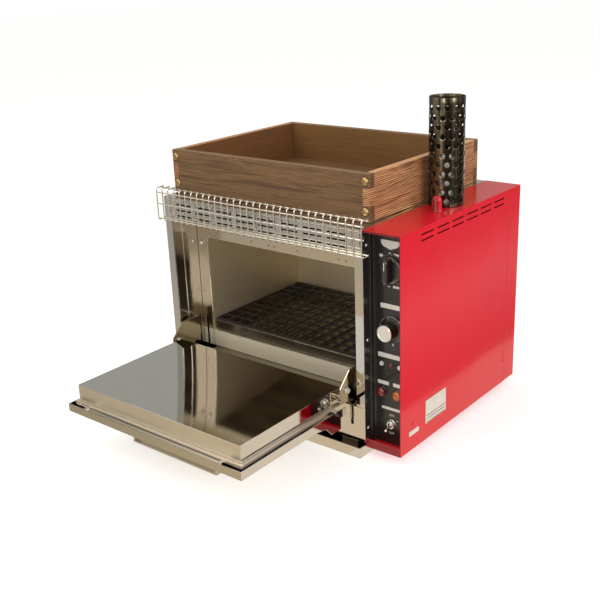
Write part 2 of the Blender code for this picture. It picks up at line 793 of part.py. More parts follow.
hole_depth = (rack_back - rack_front - 2 * RACK_FRAME - (RACK_ROWS - 1) * RACK_BAR) / RACK_ROWS
rack_holes = []
for column in range(RACK_COLUMNS):
    for row in range(RACK_ROWS):
        left = -rack_half + RACK_FRAME + column * (hole_width + RACK_BAR)
        front = rack_front + RACK_FRAME + row * (hole_depth + RACK_BAR)
        rack_holes.append(
            (
                (left, front, RACK_BOTTOM - OVERLAP),
                (left + hole_width, front + hole_depth, RACK_BOTTOM + RACK_THICKNESS + OVERLAP),
            )
        )
cut(rack, boxes("rack_holes", rack_holes, None))

# Wire guard: a channel of welded wires in front of the louvres
WIRE_SINK = WIRE * WIRE_SINK_SHARE
mesh = bmesh.new()
for step in range(GUARD_PITCHES + 1):
    across = GUARD_LEFT + step * GUARD_PITCH
    outline = [
        (GUARD_BACK, GUARD_TOP + WIRE / 2),
        (GUARD_FRONT - WIRE / 2, GUARD_TOP + WIRE / 2),
        (GUARD_FRONT - WIRE / 2, GUARD_BOTTOM - WIRE / 2),
        (GUARD_BACK, GUARD_BOTTOM - WIRE / 2),
        (GUARD_BACK, GUARD_BOTTOM + WIRE / 2),
        (GUARD_FRONT + WIRE / 2, GUARD_BOTTOM + WIRE / 2),
        (GUARD_FRONT + WIRE / 2, GUARD_TOP - WIRE / 2),
        (GUARD_BACK, GUARD_TOP - WIRE / 2),
    ]
    near = [mesh.verts.new((across - WIRE / 2, y, z)) for y, z in outline]
    far = [mesh.verts.new((across + WIRE / 2, y, z)) for y, z in outline]
    count = len(outline)
    for first in range(count):
        second = (first + 1) % count
        mesh.faces.new((near[first], near[second], far[second], far[first]))
    for group in ((0, 1, 6, 7), (1, 2, 5, 6), (2, 3, 4, 5)):
        mesh.faces.new([near[index] for index in group])
        mesh.faces.new([far[index] for index in reversed(group)])
bmesh.ops.recalc_face_normals(mesh, faces=mesh.faces)
data = bpy.data.meshes.new("wire_guard")
mesh.to_mesh(data)
mesh.free()
guard = bpy.data.objects.new("wire_guard", data)
bpy.context.scene.collection.objects.link(guard)
settle(guard, "wire_guard", "zinc", oven, (0, 0, 0))
rungs = []
for height in (
    GUARD_TOP - GUARD_TOP_RUNG_DROP,
    GUARD_TOP - GUARD_HEIGHT / 2,
    GUARD_BOTTOM + WIRE,
):
    behind = GUARD_FRONT + WIRE / 2 - WIRE_SINK
    rungs.append(
        (
            (GUARD_LEFT - WIRE, behind, height - WIRE / 2),
            (GUARD_RIGHT + WIRE, behind + WIRE, height + WIRE / 2),
        )
    )
for height in (GUARD_TOP - WIRE + WIRE_SINK, GUARD_BOTTOM + WIRE - WIRE_SINK):
    rungs.append(
        (
            (GUARD_LEFT - WIRE, GUARD_BACK - WIRE - WIRE, height - WIRE / 2),
            (GUARD_RIGHT + WIRE, GUARD_BACK - WIRE, height + WIRE / 2),
        )
    )
add(guard, boxes("guard_rungs", rungs, None))

# Door: outer pan with its ears, inner plate and inner block
pan = box(
    "door_pan",
    (-PAN_HALF_WIDTH, PAN_FRONT, PAN_BOTTOM),
    (PAN_HALF_WIDTH, BLOCK_BACK, PAN_RIM_TOP),
    "steel",
    door,
)
cut(
    pan,
    box(
        "pan_room",
        (-PAN_HALF_WIDTH + SHEET, PAN_FRONT + SHEET, PAN_BOTTOM + SHEET),
        (PAN_HALF_WIDTH - SHEET, BLOCK_BACK + OVERLAP, PAN_RIM_TOP + OVERLAP),
        None,
        door,
    ),
)
PLATE_TOP = BLOCK_BOTTOM - GAP
PLATE_REST = PLATE_TOP - SHEET - GAP
PAN_HEM_END = PAN_HALF_WIDTH - PAN_HEM_INSET
PAN_POST_Y = BLOCK_BACK - PAN_POST_SETBACK
add(
    pan,
    box(
        "pan_hem",
        (-PAN_HEM_END, PAN_FRONT + OVERLAP, PAN_RIM_TOP - SHEET),
        (PAN_HEM_END, PAN_FRONT + PAN_HEM_WIDTH, PAN_RIM_TOP),
        None,
        door,
    ),
)
pan_tabs = []
pan_posts = []
for sign in (-1, 1):
    end = sign * PAN_HEM_END
    start = end - sign * PAN_TAB_WIDTH
    pan_tabs.append(
        (
            (min(start, end), PAN_FRONT + OVERLAP, PAN_RIM_TOP - SHEET),
            (max(start, end), PAN_FRONT + PAN_TAB_REACH, PLATE_REST),
        )
    )
    middle = sign * (PAN_HALF_WIDTH - PAN_POST_INSET)
    pan_posts.append(
        (
            (middle - PAN_POST_WIDTH / 2, PAN_POST_Y, PAN_BOTTOM + SHEET - OVERLAP),
            (middle + PAN_POST_WIDTH / 2, PAN_POST_Y + PAN_POST_WIDTH, PLATE_REST),
        )
    )
add(pan, boxes("pan_tabs", pan_tabs, None, door))
add(pan, boxes("pan_posts", pan_posts, None, door))
ear = [
    (EAR_HEEL, PAN_BOTTOM + OVERLAP),
    (EAR_MIDDLE, PAN_BOTTOM - EAR_TAPER_DROP),
    (EAR_TOE, EAR_BOTTOM),
    (EAR_BACK, EAR_BOTTOM),
    (EAR_BACK, PAN_BOTTOM + OVERLAP),
]
for side, low in (("left", -PAN_HALF_WIDTH), ("right", PAN_HALF_WIDTH - SHEET)):
    add(pan, plate(f"ear_{side}", ear, "YZ", low, low + SHEET, None, door))
box(
    "door_inner_plate",
    (-BLOCK_HALF_WIDTH - PLATE_OVERHANG, BLOCK_FRONT - PLATE_OVERHANG, PLATE_TOP - SHEET),
    (BLOCK_HALF_WIDTH + PLATE_OVERHANG, BLOCK_BACK, PLATE_TOP),
    "steel",
    door,
)
block = box(
    "door_block",
    (-BLOCK_HALF_WIDTH, BLOCK_FRONT, BLOCK_BOTTOM),
    (BLOCK_HALF_WIDTH, BLOCK_BACK, DOOR_TOP),
    "steel",
    door,
)
cut(
    block,
    box(
        "block_room",
        (-BLOCK_HALF_WIDTH + SHEET, BLOCK_FRONT + SHEET, BLOCK_BOTTOM - OVERLAP),
        (BLOCK_HALF_WIDTH - SHEET, BLOCK_BACK - SHEET, DOOR_TOP - SHEET),
        None,
        door,
    ),
)

# Handle: a bent strap on the outside of the door, which is its underside when open
HANDLE_TOP = PAN_BOTTOM - GAP
HANDLE_INNER = HANDLE_HALF_WIDTH - HANDLE_THICKNESS
handle = plate(
    "door_handle",
    [
        (-HANDLE_HALF_WIDTH, HANDLE_TOP),
        (-HANDLE_HALF_WIDTH, HANDLE_BOTTOM),
        (HANDLE_HALF_WIDTH, HANDLE_BOTTOM),
        (HANDLE_HALF_WIDTH, HANDLE_TOP),
        (HANDLE_INNER, HANDLE_TOP),
        (HANDLE_INNER, HANDLE_BOTTOM + HANDLE_THICKNESS),
        (-HANDLE_INNER, HANDLE_BOTTOM + HANDLE_THICKNESS),
        (-HANDLE_INNER, HANDLE_TOP),
    ],
    "XZ",
    HANDLE_Y - HANDLE_DEPTH / 2,
    HANDLE_Y + HANDLE_DEPTH / 2,
    "satin",
    door,
)
round_edges(handle, HANDLE_BEVEL)

# Arms: flat plates at both ends of the door that turn on pins behind the lower panel
lug = [
    (
        HINGE_Y + LUG_RADIUS * math.cos(turn),
        HINGE_Z + LUG_RADIUS * math.sin(turn),
    )
    for turn in (math.radians(angle) for angle in (20, -10, -40, -70, -100, -130, -160, 170))
]
arm_outline = [
    (HINGE_Y - ARM_SHOULDER_REACH, HINGE_Z + ARM_TOP_RISE),
    (HINGE_Y + ARM_BACK_REACH, HINGE_Z + ARM_TOP_RISE),
    (HINGE_Y + ARM_BACK_REACH, HINGE_Z + ARM_BACK_RISE),
    (HINGE_Y + ARM_NECK_BACK_REACH, HINGE_Z + ARM_NECK_BACK_RISE),
    (HINGE_Y + ARM_NECK_HALF, HINGE_Z + ARM_NECK_RISE),
    *lug,
    (HINGE_Y - ARM_NECK_HALF, HINGE_Z + ARM_NECK_RISE),
    (HINGE_Y - ARM_NECK_FRONT_REACH, HINGE_Z + ARM_BOTTOM_RISE),
    (HINGE_Y - ARM_FRONT_REACH, HINGE_Z + ARM_BOTTOM_RISE),
    (HINGE_Y - ARM_FRONT_REACH, HINGE_Z + ARM_NOSE_RISE),
]
for side, sign in (("left", -1), ("right", 1)):
    low = sign * ARM_MIDDLE - ARM_THICKNESS / 2
    high = sign * ARM_MIDDLE + ARM_THICKNESS / 2
    arm = plate(f"door_arm_{side}", arm_outline, "YZ", low, high, "steel", door)
    bore = rod(
        f"arm_bore_{side}",
        PIN_RADIUS + PIN_CLEARANCE,
        ARM_THICKNESS + 2 * OVERLAP,
        (sign * ARM_MIDDLE, HINGE_Y, HINGE_Z),
        "X",
        None,
        door,
        SMALL_SEGMENTS,
    )
    cut(arm, bore)
    spacer_end = sign * (BLOCK_HALF_WIDTH + GAP)
    spacer_root = sign * ARM_MIDDLE
    spacer = rod(
        f"arm_spacer_{side}",
        SPACER_RADIUS,
        abs(spacer_root - spacer_end),
        ((spacer_root + spacer_end) / 2, HINGE_Y - SPACER_REACH, HINGE_Z + SPACER_RISE),
        "X",
        None,
        door,
        SMALL_SEGMENTS,
    )
    add(arm, spacer)
    bolt = rod(
        f"arm_bolt_{side}",
        WASHER_RADIUS,
        WASHER_THICKNESS,
        (high + GAP + WASHER_THICKNESS / 2, HINGE_Y - ARM_BOLT_REACH, HINGE_Z + ARM_BOLT_RISE),
        "X",
        "silver",
        door,
        SMALL_SEGMENTS,
    )
    head = rod(
        f"arm_bolt_head_{side}",
        BOLT_RADIUS,
        BOLT_HEIGHT,
        (high + GAP + OVERLAP + BOLT_HEIGHT / 2, HINGE_Y - ARM_BOLT_REACH, HINGE_Z + ARM_BOLT_RISE),
        "X",
        None,
        door,
        NUT_SEGMENTS,
    )
    add(bolt, head)
    # A small yoke fixed behind the lower panel carries the arm's pin.
    inner = low - CHEEK_CLEARANCE
    outer = high + CHEEK_CLEARANCE
    yoke = plate(
        f"hinge_yoke_{side}",
        [
            (inner - THICK_SHEET, YOKE_BOTTOM),
            (inner - THICK_SHEET, YOKE_TOP),
            (inner, YOKE_TOP),
            (inner, YOKE_BOTTOM + THICK_SHEET),
            (outer, YOKE_BOTTOM + THICK_SHEET),
            (outer, YOKE_TOP),
            (outer + THICK_SHEET, YOKE_TOP),
            (outer + THICK_SHEET, YOKE_BOTTOM),
        ],
        "XZ",
        SHEET + GAP,
        SHEET + GAP + YOKE_DEPTH,
        "satin",
    )
    pin = rod(
        f"hinge_pin_{side}",
        PIN_RADIUS,
        outer - inner + THICK_SHEET,
        (sign * ARM_MIDDLE, HINGE_Y, HINGE_Z),
        "X",
        None,
        oven,
        SMALL_SEGMENTS,
    )
    add(yoke, pin)

# Control box: red shell, red back cover and recessed black panel
control = plate(
    "control_shell",
    [
        (CONTROL_LEFT, CABINET_TOP),
        (CONTROL_RIGHT, CABINET_TOP),
        (CONTROL_RIGHT, CONTROL_BOTTOM),
        (CONTROL_LEFT, CONTROL_BOTTOM),
        (CONTROL_LEFT, CONTROL_BOTTOM + SHEET),
        (CONTROL_RIGHT - SHEET, CONTROL_BOTTOM + SHEET),
        (CONTROL_RIGHT - SHEET, CABINET_TOP - SHEET),
        (CONTROL_LEFT, CABINET_TOP - SHEET),
    ],
    "XZ",
    0,
    CONTROL_SEAM,
    "red",
)
add(
    control,
    boxes(
        "control_lips",
        [
            (
                (CONTROL_LEFT, 0, CONTROL_BOTTOM + OVERLAP),
                (CONTROL_RIGHT - OVERLAP, SHEET, CONTROL_BOTTOM + CONTROL_LIP),
            ),
            (
                (CONTROL_LEFT, 0, CABINET_TOP - CONTROL_TOP_LIP),
                (CONTROL_RIGHT - OVERLAP, SHEET, CABINET_TOP - OVERLAP),
            ),
        ],
        None,
    ),
)
side_slots = []
for column in range(SIDE_SLOT_COUNT):
    front = SIDE_SLOT_FIRST + column * SIDE_SLOT_PITCH
    for row in range(SIDE_SLOT_ROWS):
        height = SIDE_SLOT_TOP_ROW - row * SIDE_SLOT_ROW_PITCH
        side_slots.append(
            (
                (CONTROL_RIGHT - SHEET - OVERLAP, front, height - SIDE_SLOT_HEIGHT / 2),
                (CONTROL_RIGHT + OVERLAP, front + SIDE_SLOT_LENGTH, height + SIDE_SLOT_HEIGHT / 2),
            )
        )
cut(control, boxes("side_slots", side_slots, None))
cover = box(
    "control_back_cover",
    (CONTROL_LEFT, CONTROL_SEAM + GAP, CONTROL_BOTTOM),
    (CONTROL_RIGHT, CONTROL_DEPTH, CABINET_TOP),
    "red",
)
cut(
    cover,
    box(
        "cover_room",
        (CONTROL_LEFT - OVERLAP, CONTROL_SEAM - OVERLAP, CONTROL_BOTTOM + SHEET),
        (CONTROL_RIGHT - SHEET, CONTROL_DEPTH - SHEET, CABINET_TOP - SHEET),
        None,
    ),
)
PANEL_LEFT = CONTROL_LEFT + GAP
PANEL_RIGHT = CONTROL_RIGHT - SHEET - PANEL_SIDE_GAP
plate(
    "control_panel",
    [
        (PANEL_LEFT, PANEL_FACE - PANEL_FLANGE),
        (PANEL_LEFT + SHEET, PANEL_FACE - PANEL_FLANGE),
        (PANEL_LEFT + SHEET, PANEL_FACE),
        (PANEL_RIGHT, PANEL_FACE),
        (PANEL_RIGHT, PANEL_FACE + SHEET),
        (PANEL_LEFT, PANEL_FACE + SHEET),
    ],
    "XY",
    CONTROL_BOTTOM + SHEET + GAP,
    CABINET_TOP - SHEET - GAP,
    "black",
)

# Timer: a fixed dial and a skirted knob with a bar grip
rod(
    "timer_dial",
    TIMER_DIAL_RADIUS,
    DIAL_THICKNESS,
    (PANEL_CENTRE, PANEL_FACE - GAP - DIAL_THICKNESS / 2, TIMER_HEIGHT),
    "Y",
    "black",
)
TIMER_BACK = PANEL_FACE - DIAL_THICKNESS - 2 * GAP
knob = rod(
    "timer_knob",
    TIMER_SKIRT_RADIUS,
    TIMER_SKIRT_HEIGHT,
    (PANEL_CENTRE, TIMER_BACK - TIMER_SKIRT_HEIGHT / 2, TIMER_HEIGHT),
    "Y",
    "knob",
    timer,
)
GRIP_FACE = TIMER_BACK - TIMER_SKIRT_HEIGHT
add(
    knob,
    box(
        "timer_grip",
        (
            PANEL_CENTRE - TIMER_GRIP_WIDTH / 2,
            GRIP_FACE - TIMER_GRIP_HEIGHT,
            TIMER_HEIGHT - TIMER_GRIP_LENGTH / 2,
        ),
        (
            PANEL_CENTRE + TIMER_GRIP_WIDTH / 2,
            GRIP_FACE + OVERLAP,
            TIMER_HEIGHT + TIMER_GRIP_LENGTH / 2,
        ),
        None,
        timer,
    ),
)
round_edges(knob, TIMER_BEVEL)

# Thermostat: a knob with a printed skirt, a long body and a silver cap
skirt_back = PANEL_FACE - GAP
body_back = skirt_back - THERMOSTAT_DIAL_HEIGHT
body_front = body_back - THERMOSTAT_BODY_HEIGHT
thermostat_knob = rod(
    "thermostat_knob",
    THERMOSTAT_DIAL_RADIUS,
    THERMOSTAT_DIAL_HEIGHT,
    (PANEL_CENTRE, skirt_back - THERMOSTAT_DIAL_HEIGHT / 2, THERMOSTAT_HEIGHT),
    "Y",
    "knob",
    thermostat,
)
add(
    thermostat_knob,
    rod(
        "thermostat_body",
        THERMOSTAT_BODY_RADIUS,
        THERMOSTAT_BODY_HEIGHT + OVERLAP,
        (PANEL_CENTRE, (body_back + OVERLAP + body_front) / 2, THERMOSTAT_HEIGHT),
        "Y",
        None,
        thermostat,
    ),
)
cap = rod(
    "thermostat_cap",
    THERMOSTAT_CAP_RADIUS,
    THERMOSTAT_CAP_HEIGHT,
    (PANEL_CENTRE, body_front - GAP - THERMOSTAT_CAP_HEIGHT / 2, THERMOSTAT_HEIGHT),
    "Y",
    "silver",
    thermostat,
)
round_edges(cap, THERMOSTAT_BEVEL)

# Row of three small round pieces, two lamps and the toggle switch
for name, step, radius, look in (
    ("indicator_left", -1, INDICATOR_RADIUS, "white"),
    ("indicator_middle", 0, INDICATOR_MIDDLE_RADIUS, "plum"),
    ("indicator_right", 1, INDICATOR_RADIUS, "white"),
):
    rod(
        name,
        radius,
        INDICATOR_DEPTH,
        (
            INDICATOR_MIDDLE + step * INDICATOR_SPACING,
            PANEL_FACE - GAP - INDICATOR_DEPTH / 2,
            INDICATOR_HEIGHT,
        ),
        "Y",
        look,
        oven,
        SMALL_SEGMENTS,
    )
for name, step, look in (("lamp_red", -1, "ruby"), ("lamp_amber", 1, "amber")):
    lamp = rod(
        name,
        LAMP_RADIUS,
        LAMP_DEPTH,
        (LAMP_MIDDLE + step * LAMP_SPACING / 2, PANEL_FACE - GAP - LAMP_DEPTH / 2, LAMP_HEIGHT),
        "Y",
        look,
        oven,
        ROUND_SEGMENTS,
        LAMP_RADIUS * LAMP_CROWN_SHARE,
    )
nut = rod(
    "switch_nut",
    SWITCH_NUT_RADIUS,
    SWITCH_NUT_DEPTH,
    (SWITCH_X, PANEL_FACE - GAP - SWITCH_NUT_DEPTH / 2, SWITCH_HEIGHT),
    "Y",
    "silver",
    oven,
    NUT_SEGMENTS,
)
cut(
    nut,
    rod(
        "switch_bore",
        LEVER_BORE_RADIUS,
        SWITCH_NUT_DEPTH + 2 * OVERLAP,
        (SWITCH_X, PANEL_FACE - GAP - SWITCH_NUT_DEPTH / 2, SWITCH_HEIGHT),
        "Y",
        None,
        oven,
        SMALL_SEGMENTS,
    ),
)
lever = rod(
    "switch_lever",
    LEVER_BASE_RADIUS,
    LEVER_LENGTH,
    (
        SWITCH_X,
        PANEL_FACE - LEVER_PIVOT_DEPTH - LEVER_LENGTH / 2 * math.cos(LEVER_TILT),
        SWITCH_HEIGHT - LEVER_LENGTH / 2 * math.sin(LEVER_TILT),
    ),
    "Y",
    "silver",
    switch,
    SMALL_SEGMENTS,
    LEVER_TIP_RADIUS,
)
lever.rotation_euler = (RIGHT_ANGLE + LEVER_TILT, 0, 0)
mesh = bmesh.new()
bmesh.ops.create_uvsphere(
    mesh,
    u_segments=SMALL_SEGMENTS,
    v_segments=SMALL_SEGMENTS,
    radius=LEVER_BORE_RADIUS - GAP,
)
data = bpy.data.meshes.new("switch_ball")
mesh.to_mesh(data)
mesh.free()
ball = bpy.data.objects.new("switch_ball", data)
bpy.context.scene.collection.objects.link(ball)
settle(ball, "switch_ball", None, switch, home_of(switch))
add(lever, ball)

# Rating plate, left bare
box(
    "rating_plate",
    (CONTROL_RIGHT + GAP, RATING_FRONT, RATING_BOTTOM),
    (CONTROL_RIGHT + GAP + RATING_THICKNESS, RATING_FRONT + RATING_LENGTH, RATING_BOTTOM + RATING_HEIGHT),
    "white",
)

# Chimney: a perforated tube around a short bright flue, and the red post beside it
chimney = rod(
    "chimney_guard",
    CHIMNEY_RADIUS,
    CHIMNEY_HEIGHT,
    (CHIMNEY_X, CHIMNEY_Y, CHIMNEY_BOTTOM + CHIMNEY_HEIGHT / 2),
    "Z",
    "smoked",
    oven,
    CHIMNEY_SEGMENTS,
)
cut(
    chimney,
    rod(
        "chimney_bore",
        CHIMNEY_RADIUS - CHIMNEY_WALL,
        CHIMNEY_HEIGHT + 2 * OVERLAP,
        (CHIMNEY_X, CHIMNEY_Y, CHIMNEY_BOTTOM + CHIMNEY_HEIGHT / 2),
        "Z",
        None,
        oven,
        CHIMNEY_SEGMENTS,
    ),
)
mesh = bmesh.new()
punch_length = CHIMNEY_WALL * HOLE_SEGMENTS
for row in range(HOLE_ROWS):
    height = CHIMNEY_BOTTOM + HOLE_FIRST_ROW + row * HOLE_ROW_PITCH
    for column in range(HOLE_COLUMNS):
        turn = 2 * math.pi * (column + (row % 2) / 2) / HOLE_COLUMNS
        place = (
            Matrix.Translation((CHIMNEY_X, CHIMNEY_Y, height))
            @ Matrix.Rotation(turn, 4, "Z")
            @ Matrix.Translation((CHIMNEY_RADIUS, 0, 0))
            @ TURNS["X"]
        )
        bmesh.ops.create_cone(
            mesh,
            cap_ends=True,
            segments=HOLE_SEGMENTS,
            radius1=HOLE_RADIUS,
            radius2=HOLE_RADIUS,
            depth=punch_length,
            matrix=place,
        )
data = bpy.data.meshes.new("chimney_holes")
mesh.to_mesh(data)
mesh.free()
punches = bpy.data.objects.new("chimney_holes", data)
bpy.context.scene.collection.objects.link(punches)
settle(punches, "chimney_holes", None, oven, (0, 0, 0))
cut(chimney, punches)
flue = rod(
    "inner_flue",
    FLUE_RADIUS,
    FLUE_HEIGHT,
    (CHIMNEY_X, CHIMNEY_Y, CHIMNEY_BOTTOM + FLUE_HEIGHT / 2),
    "Z",
    "silver",
)
cut(
    flue,
    rod(
        "flue_bore",
        FLUE_RADIUS - SHEET,
        FLUE_HEIGHT + 2 * OVERLAP,
        (CHIMNEY_X, CHIMNEY_Y, CHIMNEY_BOTTOM + FLUE_HEIGHT / 2),
        "Z",
        None,
    ),
)
post = rod(
    "red_post",
    POST_RADIUS,
    POST_HEIGHT,
    (POST_X, POST_Y, CABINET_TOP + GAP + POST_HEIGHT / 2),
    "Z",
    "red",
    oven,
    SMALL_SEGMENTS,
    POST_RADIUS * POST_CROWN_SHARE,
)

# Cord inlet at the back
inlet = rod(
    "cord_inlet",
    INLET_RADIUS,
    INLET_DEPTH,
    (PANEL_CENTRE, CONTROL_DEPTH + GAP + INLET_DEPTH / 2, INLET_HEIGHT),
    "Y",
    "rubber",
    oven,
    SMALL_SEGMENTS,
)
cut(
    inlet,
    rod(
        "inlet_bore",
        INLET_BORE_RADIUS,
        INLET_DEPTH + 2 * OVERLAP,
        (PANEL_CENTRE, CONTROL_DEPTH + GAP + INLET_DEPTH / 2, INLET_HEIGHT),
        "Y",
        None,
        oven,
        SMALL_SEGMENTS,
    ),
)

# Crate: four boards with finger joints, a floor and brass nails
for name, front in (("crate_front", CRATE_FRONT), ("crate_back", CRATE_BACK - CRATE_WALL)):
    plate(
        name,
        [
            (CRATE_LEFT, CRATE_BOTTOM),
            (CRATE_RIGHT, CRATE_BOTTOM),
            (CRATE_RIGHT, FINGER_LOW),
            (CRATE_RIGHT - CRATE_WALL - GAP, FINGER_LOW),
            (CRATE_RIGHT - CRATE_WALL - GAP, FINGER_HIGH),
            (CRATE_RIGHT, FINGER_HIGH),
            (CRATE_RIGHT, CRATE_TOP),
            (CRATE_LEFT, CRATE_TOP),
            (CRATE_LEFT, FINGER_HIGH),
            (CRATE_LEFT + CRATE_WALL + GAP, FINGER_HIGH),
            (CRATE_LEFT + CRATE_WALL + GAP, FINGER_LOW),
            (CRATE_LEFT, FINGER_LOW),
        ],
        "XZ",
        front,
        front + CRATE_WALL,
        "wood",
    )
INNER_FRONT = CRATE_FRONT + CRATE_WALL + GAP
INNER_BACK = CRATE_BACK - CRATE_WALL - GAP
for name, left in (("crate_left", CRATE_LEFT), ("crate_right", CRATE_RIGHT - CRATE_WALL)):
    plate(
        name,
        [
            (INNER_FRONT, CRATE_BOTTOM),
            (INNER_BACK, CRATE_BOTTOM),
            (INNER_BACK, FINGER_LOW + GAP),
            (CRATE_BACK, FINGER_LOW + GAP),
            (CRATE_BACK, FINGER_HIGH - GAP),
            (INNER_BACK, FINGER_HIGH - GAP),
            (INNER_BACK, CRATE_TOP),
            (INNER_FRONT, CRATE_TOP),
            (INNER_FRONT, FINGER_HIGH - GAP),
            (CRATE_FRONT, FINGER_HIGH - GAP),
            (CRATE_FRONT, FINGER_LOW + GAP),
            (INNER_FRONT, FINGER_LOW + GAP),
        ],
        "YZ",
        left,
        left + CRATE_WALL,
        "wood",
    )
box(
    "crate_floor",
    (CRATE_LEFT + CRATE_WALL + GAP, INNER_FRONT, CRATE_BOTTOM),
    (CRATE_RIGHT - CRATE_WALL - GAP, INNER_BACK, CRATE_BOTTOM + CRATE_FLOOR),
    "wood",
)
NAIL_UPPER = CRATE_TOP - CRATE_HEIGHT * NAIL_UPPER_SHARE
NAIL_LOWER = CRATE_BOTTOM + CRATE_HEIGHT * NAIL_LOWER_SHARE
for end, across in (("left", CRATE_LEFT + NAIL_INSET), ("right", CRATE_RIGHT - NAIL_INSET)):
    for level, height in (("upper", NAIL_UPPER), ("lower", NAIL_LOWER)):
        rod(
            f"nail_front_{end}_{level}",
            NAIL_RADIUS,
            NAIL_HEIGHT,
            (across, CRATE_FRONT - GAP - NAIL_HEIGHT / 2, height),
            "Y",
            "brass",
            oven,
            SMALL_SEGMENTS,
            NAIL_RADIUS * NAIL_CROWN_SHARE,
        )
        rod(
            f"nail_back_{end}_{level}",
            NAIL_RADIUS * NAIL_CROWN_SHARE,
            NAIL_HEIGHT,
            (across, CRATE_BACK + GAP + NAIL_HEIGHT / 2, height),
            "Y",
            "brass",
            oven,
            SMALL_SEGMENTS,
            NAIL_RADIUS,
        )
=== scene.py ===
import math
import random

import bmesh
import bpy
from mathutils import Matrix, Vector


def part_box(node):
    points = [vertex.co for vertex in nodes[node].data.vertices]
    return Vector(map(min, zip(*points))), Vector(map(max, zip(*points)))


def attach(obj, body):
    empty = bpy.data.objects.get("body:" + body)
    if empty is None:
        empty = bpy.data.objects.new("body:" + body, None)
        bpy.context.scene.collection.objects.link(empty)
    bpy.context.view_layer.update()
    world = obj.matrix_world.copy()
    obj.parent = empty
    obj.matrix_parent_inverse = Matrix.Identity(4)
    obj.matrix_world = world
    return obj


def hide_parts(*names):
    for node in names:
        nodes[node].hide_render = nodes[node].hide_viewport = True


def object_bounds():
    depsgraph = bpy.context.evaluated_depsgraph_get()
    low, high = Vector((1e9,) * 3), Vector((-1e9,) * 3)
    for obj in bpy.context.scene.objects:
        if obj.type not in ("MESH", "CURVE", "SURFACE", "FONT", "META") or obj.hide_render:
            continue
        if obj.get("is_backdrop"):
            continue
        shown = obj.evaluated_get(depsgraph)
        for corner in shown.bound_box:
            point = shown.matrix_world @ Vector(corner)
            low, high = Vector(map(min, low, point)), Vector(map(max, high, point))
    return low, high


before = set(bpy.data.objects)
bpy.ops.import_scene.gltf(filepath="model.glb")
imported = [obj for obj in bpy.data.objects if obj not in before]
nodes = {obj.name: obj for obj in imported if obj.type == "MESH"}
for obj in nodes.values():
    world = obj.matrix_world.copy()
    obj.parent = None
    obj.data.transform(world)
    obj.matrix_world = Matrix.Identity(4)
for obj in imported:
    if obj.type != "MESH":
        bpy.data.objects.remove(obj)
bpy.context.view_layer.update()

rng = random.Random(11)

# All lengths are metres.
FRONT = -0.16515  # the cabinet's front plane
PANEL = FRONT + 0.025  # the face of the control panel
CONTROL_RIGHT = 0.2536  # the red box's right side
SHEET = 0.0012
AHEAD, RIGHT, UP = (0, -1, 0), (1, 0, 0), (0, 0, 1)


def linked(name, data):
    made = bpy.data.objects.new(name, data)
    bpy.context.scene.collection.objects.link(made)
    return made


# ---------------------------------------------------------------- camera

CAMERA_ANGLES = (39.24711, -19.44122, -2.15973)  # yaw, pitch and roll in degrees
CAMERA_PLACE = (0.88648, -1.13555, 0.67798)
LENS, SENSOR = 55.268, 36.0  # millimetres
LENS_SHIFT = (-0.01162, -0.01424)

yaw, pitch, roll = (math.radians(angle) for angle in CAMERA_ANGLES)
forward = Vector((-math.sin(yaw) * math.cos(pitch), math.cos(yaw) * math.cos(pitch), math.sin(pitch)))
level = Vector((math.cos(yaw), math.sin(yaw), 0.0))
upward = level.cross(forward)
cam_x = math.cos(roll) * level + math.sin(roll) * upward
cam_y = -math.sin(roll) * level + math.cos(roll) * upward
cam_data = bpy.data.cameras.new("camera")
cam_data.sensor_fit = "HORIZONTAL"
cam_data.sensor_width = SENSOR
cam_data.lens = LENS
cam_data.shift_x, cam_data.shift_y = LENS_SHIFT
cam_data.clip_start = 0.01
camera = linked("camera", cam_data)
placed = Matrix((cam_x, cam_y, -forward)).transposed().to_4x4()
placed.translation = Vector(CAMERA_PLACE)
camera.matrix_world = placed
bpy.context.scene.camera = camera
bpy.context.scene.view_settings.view_transform = "Standard"

# ---------------------------------------------------------------- material helpers


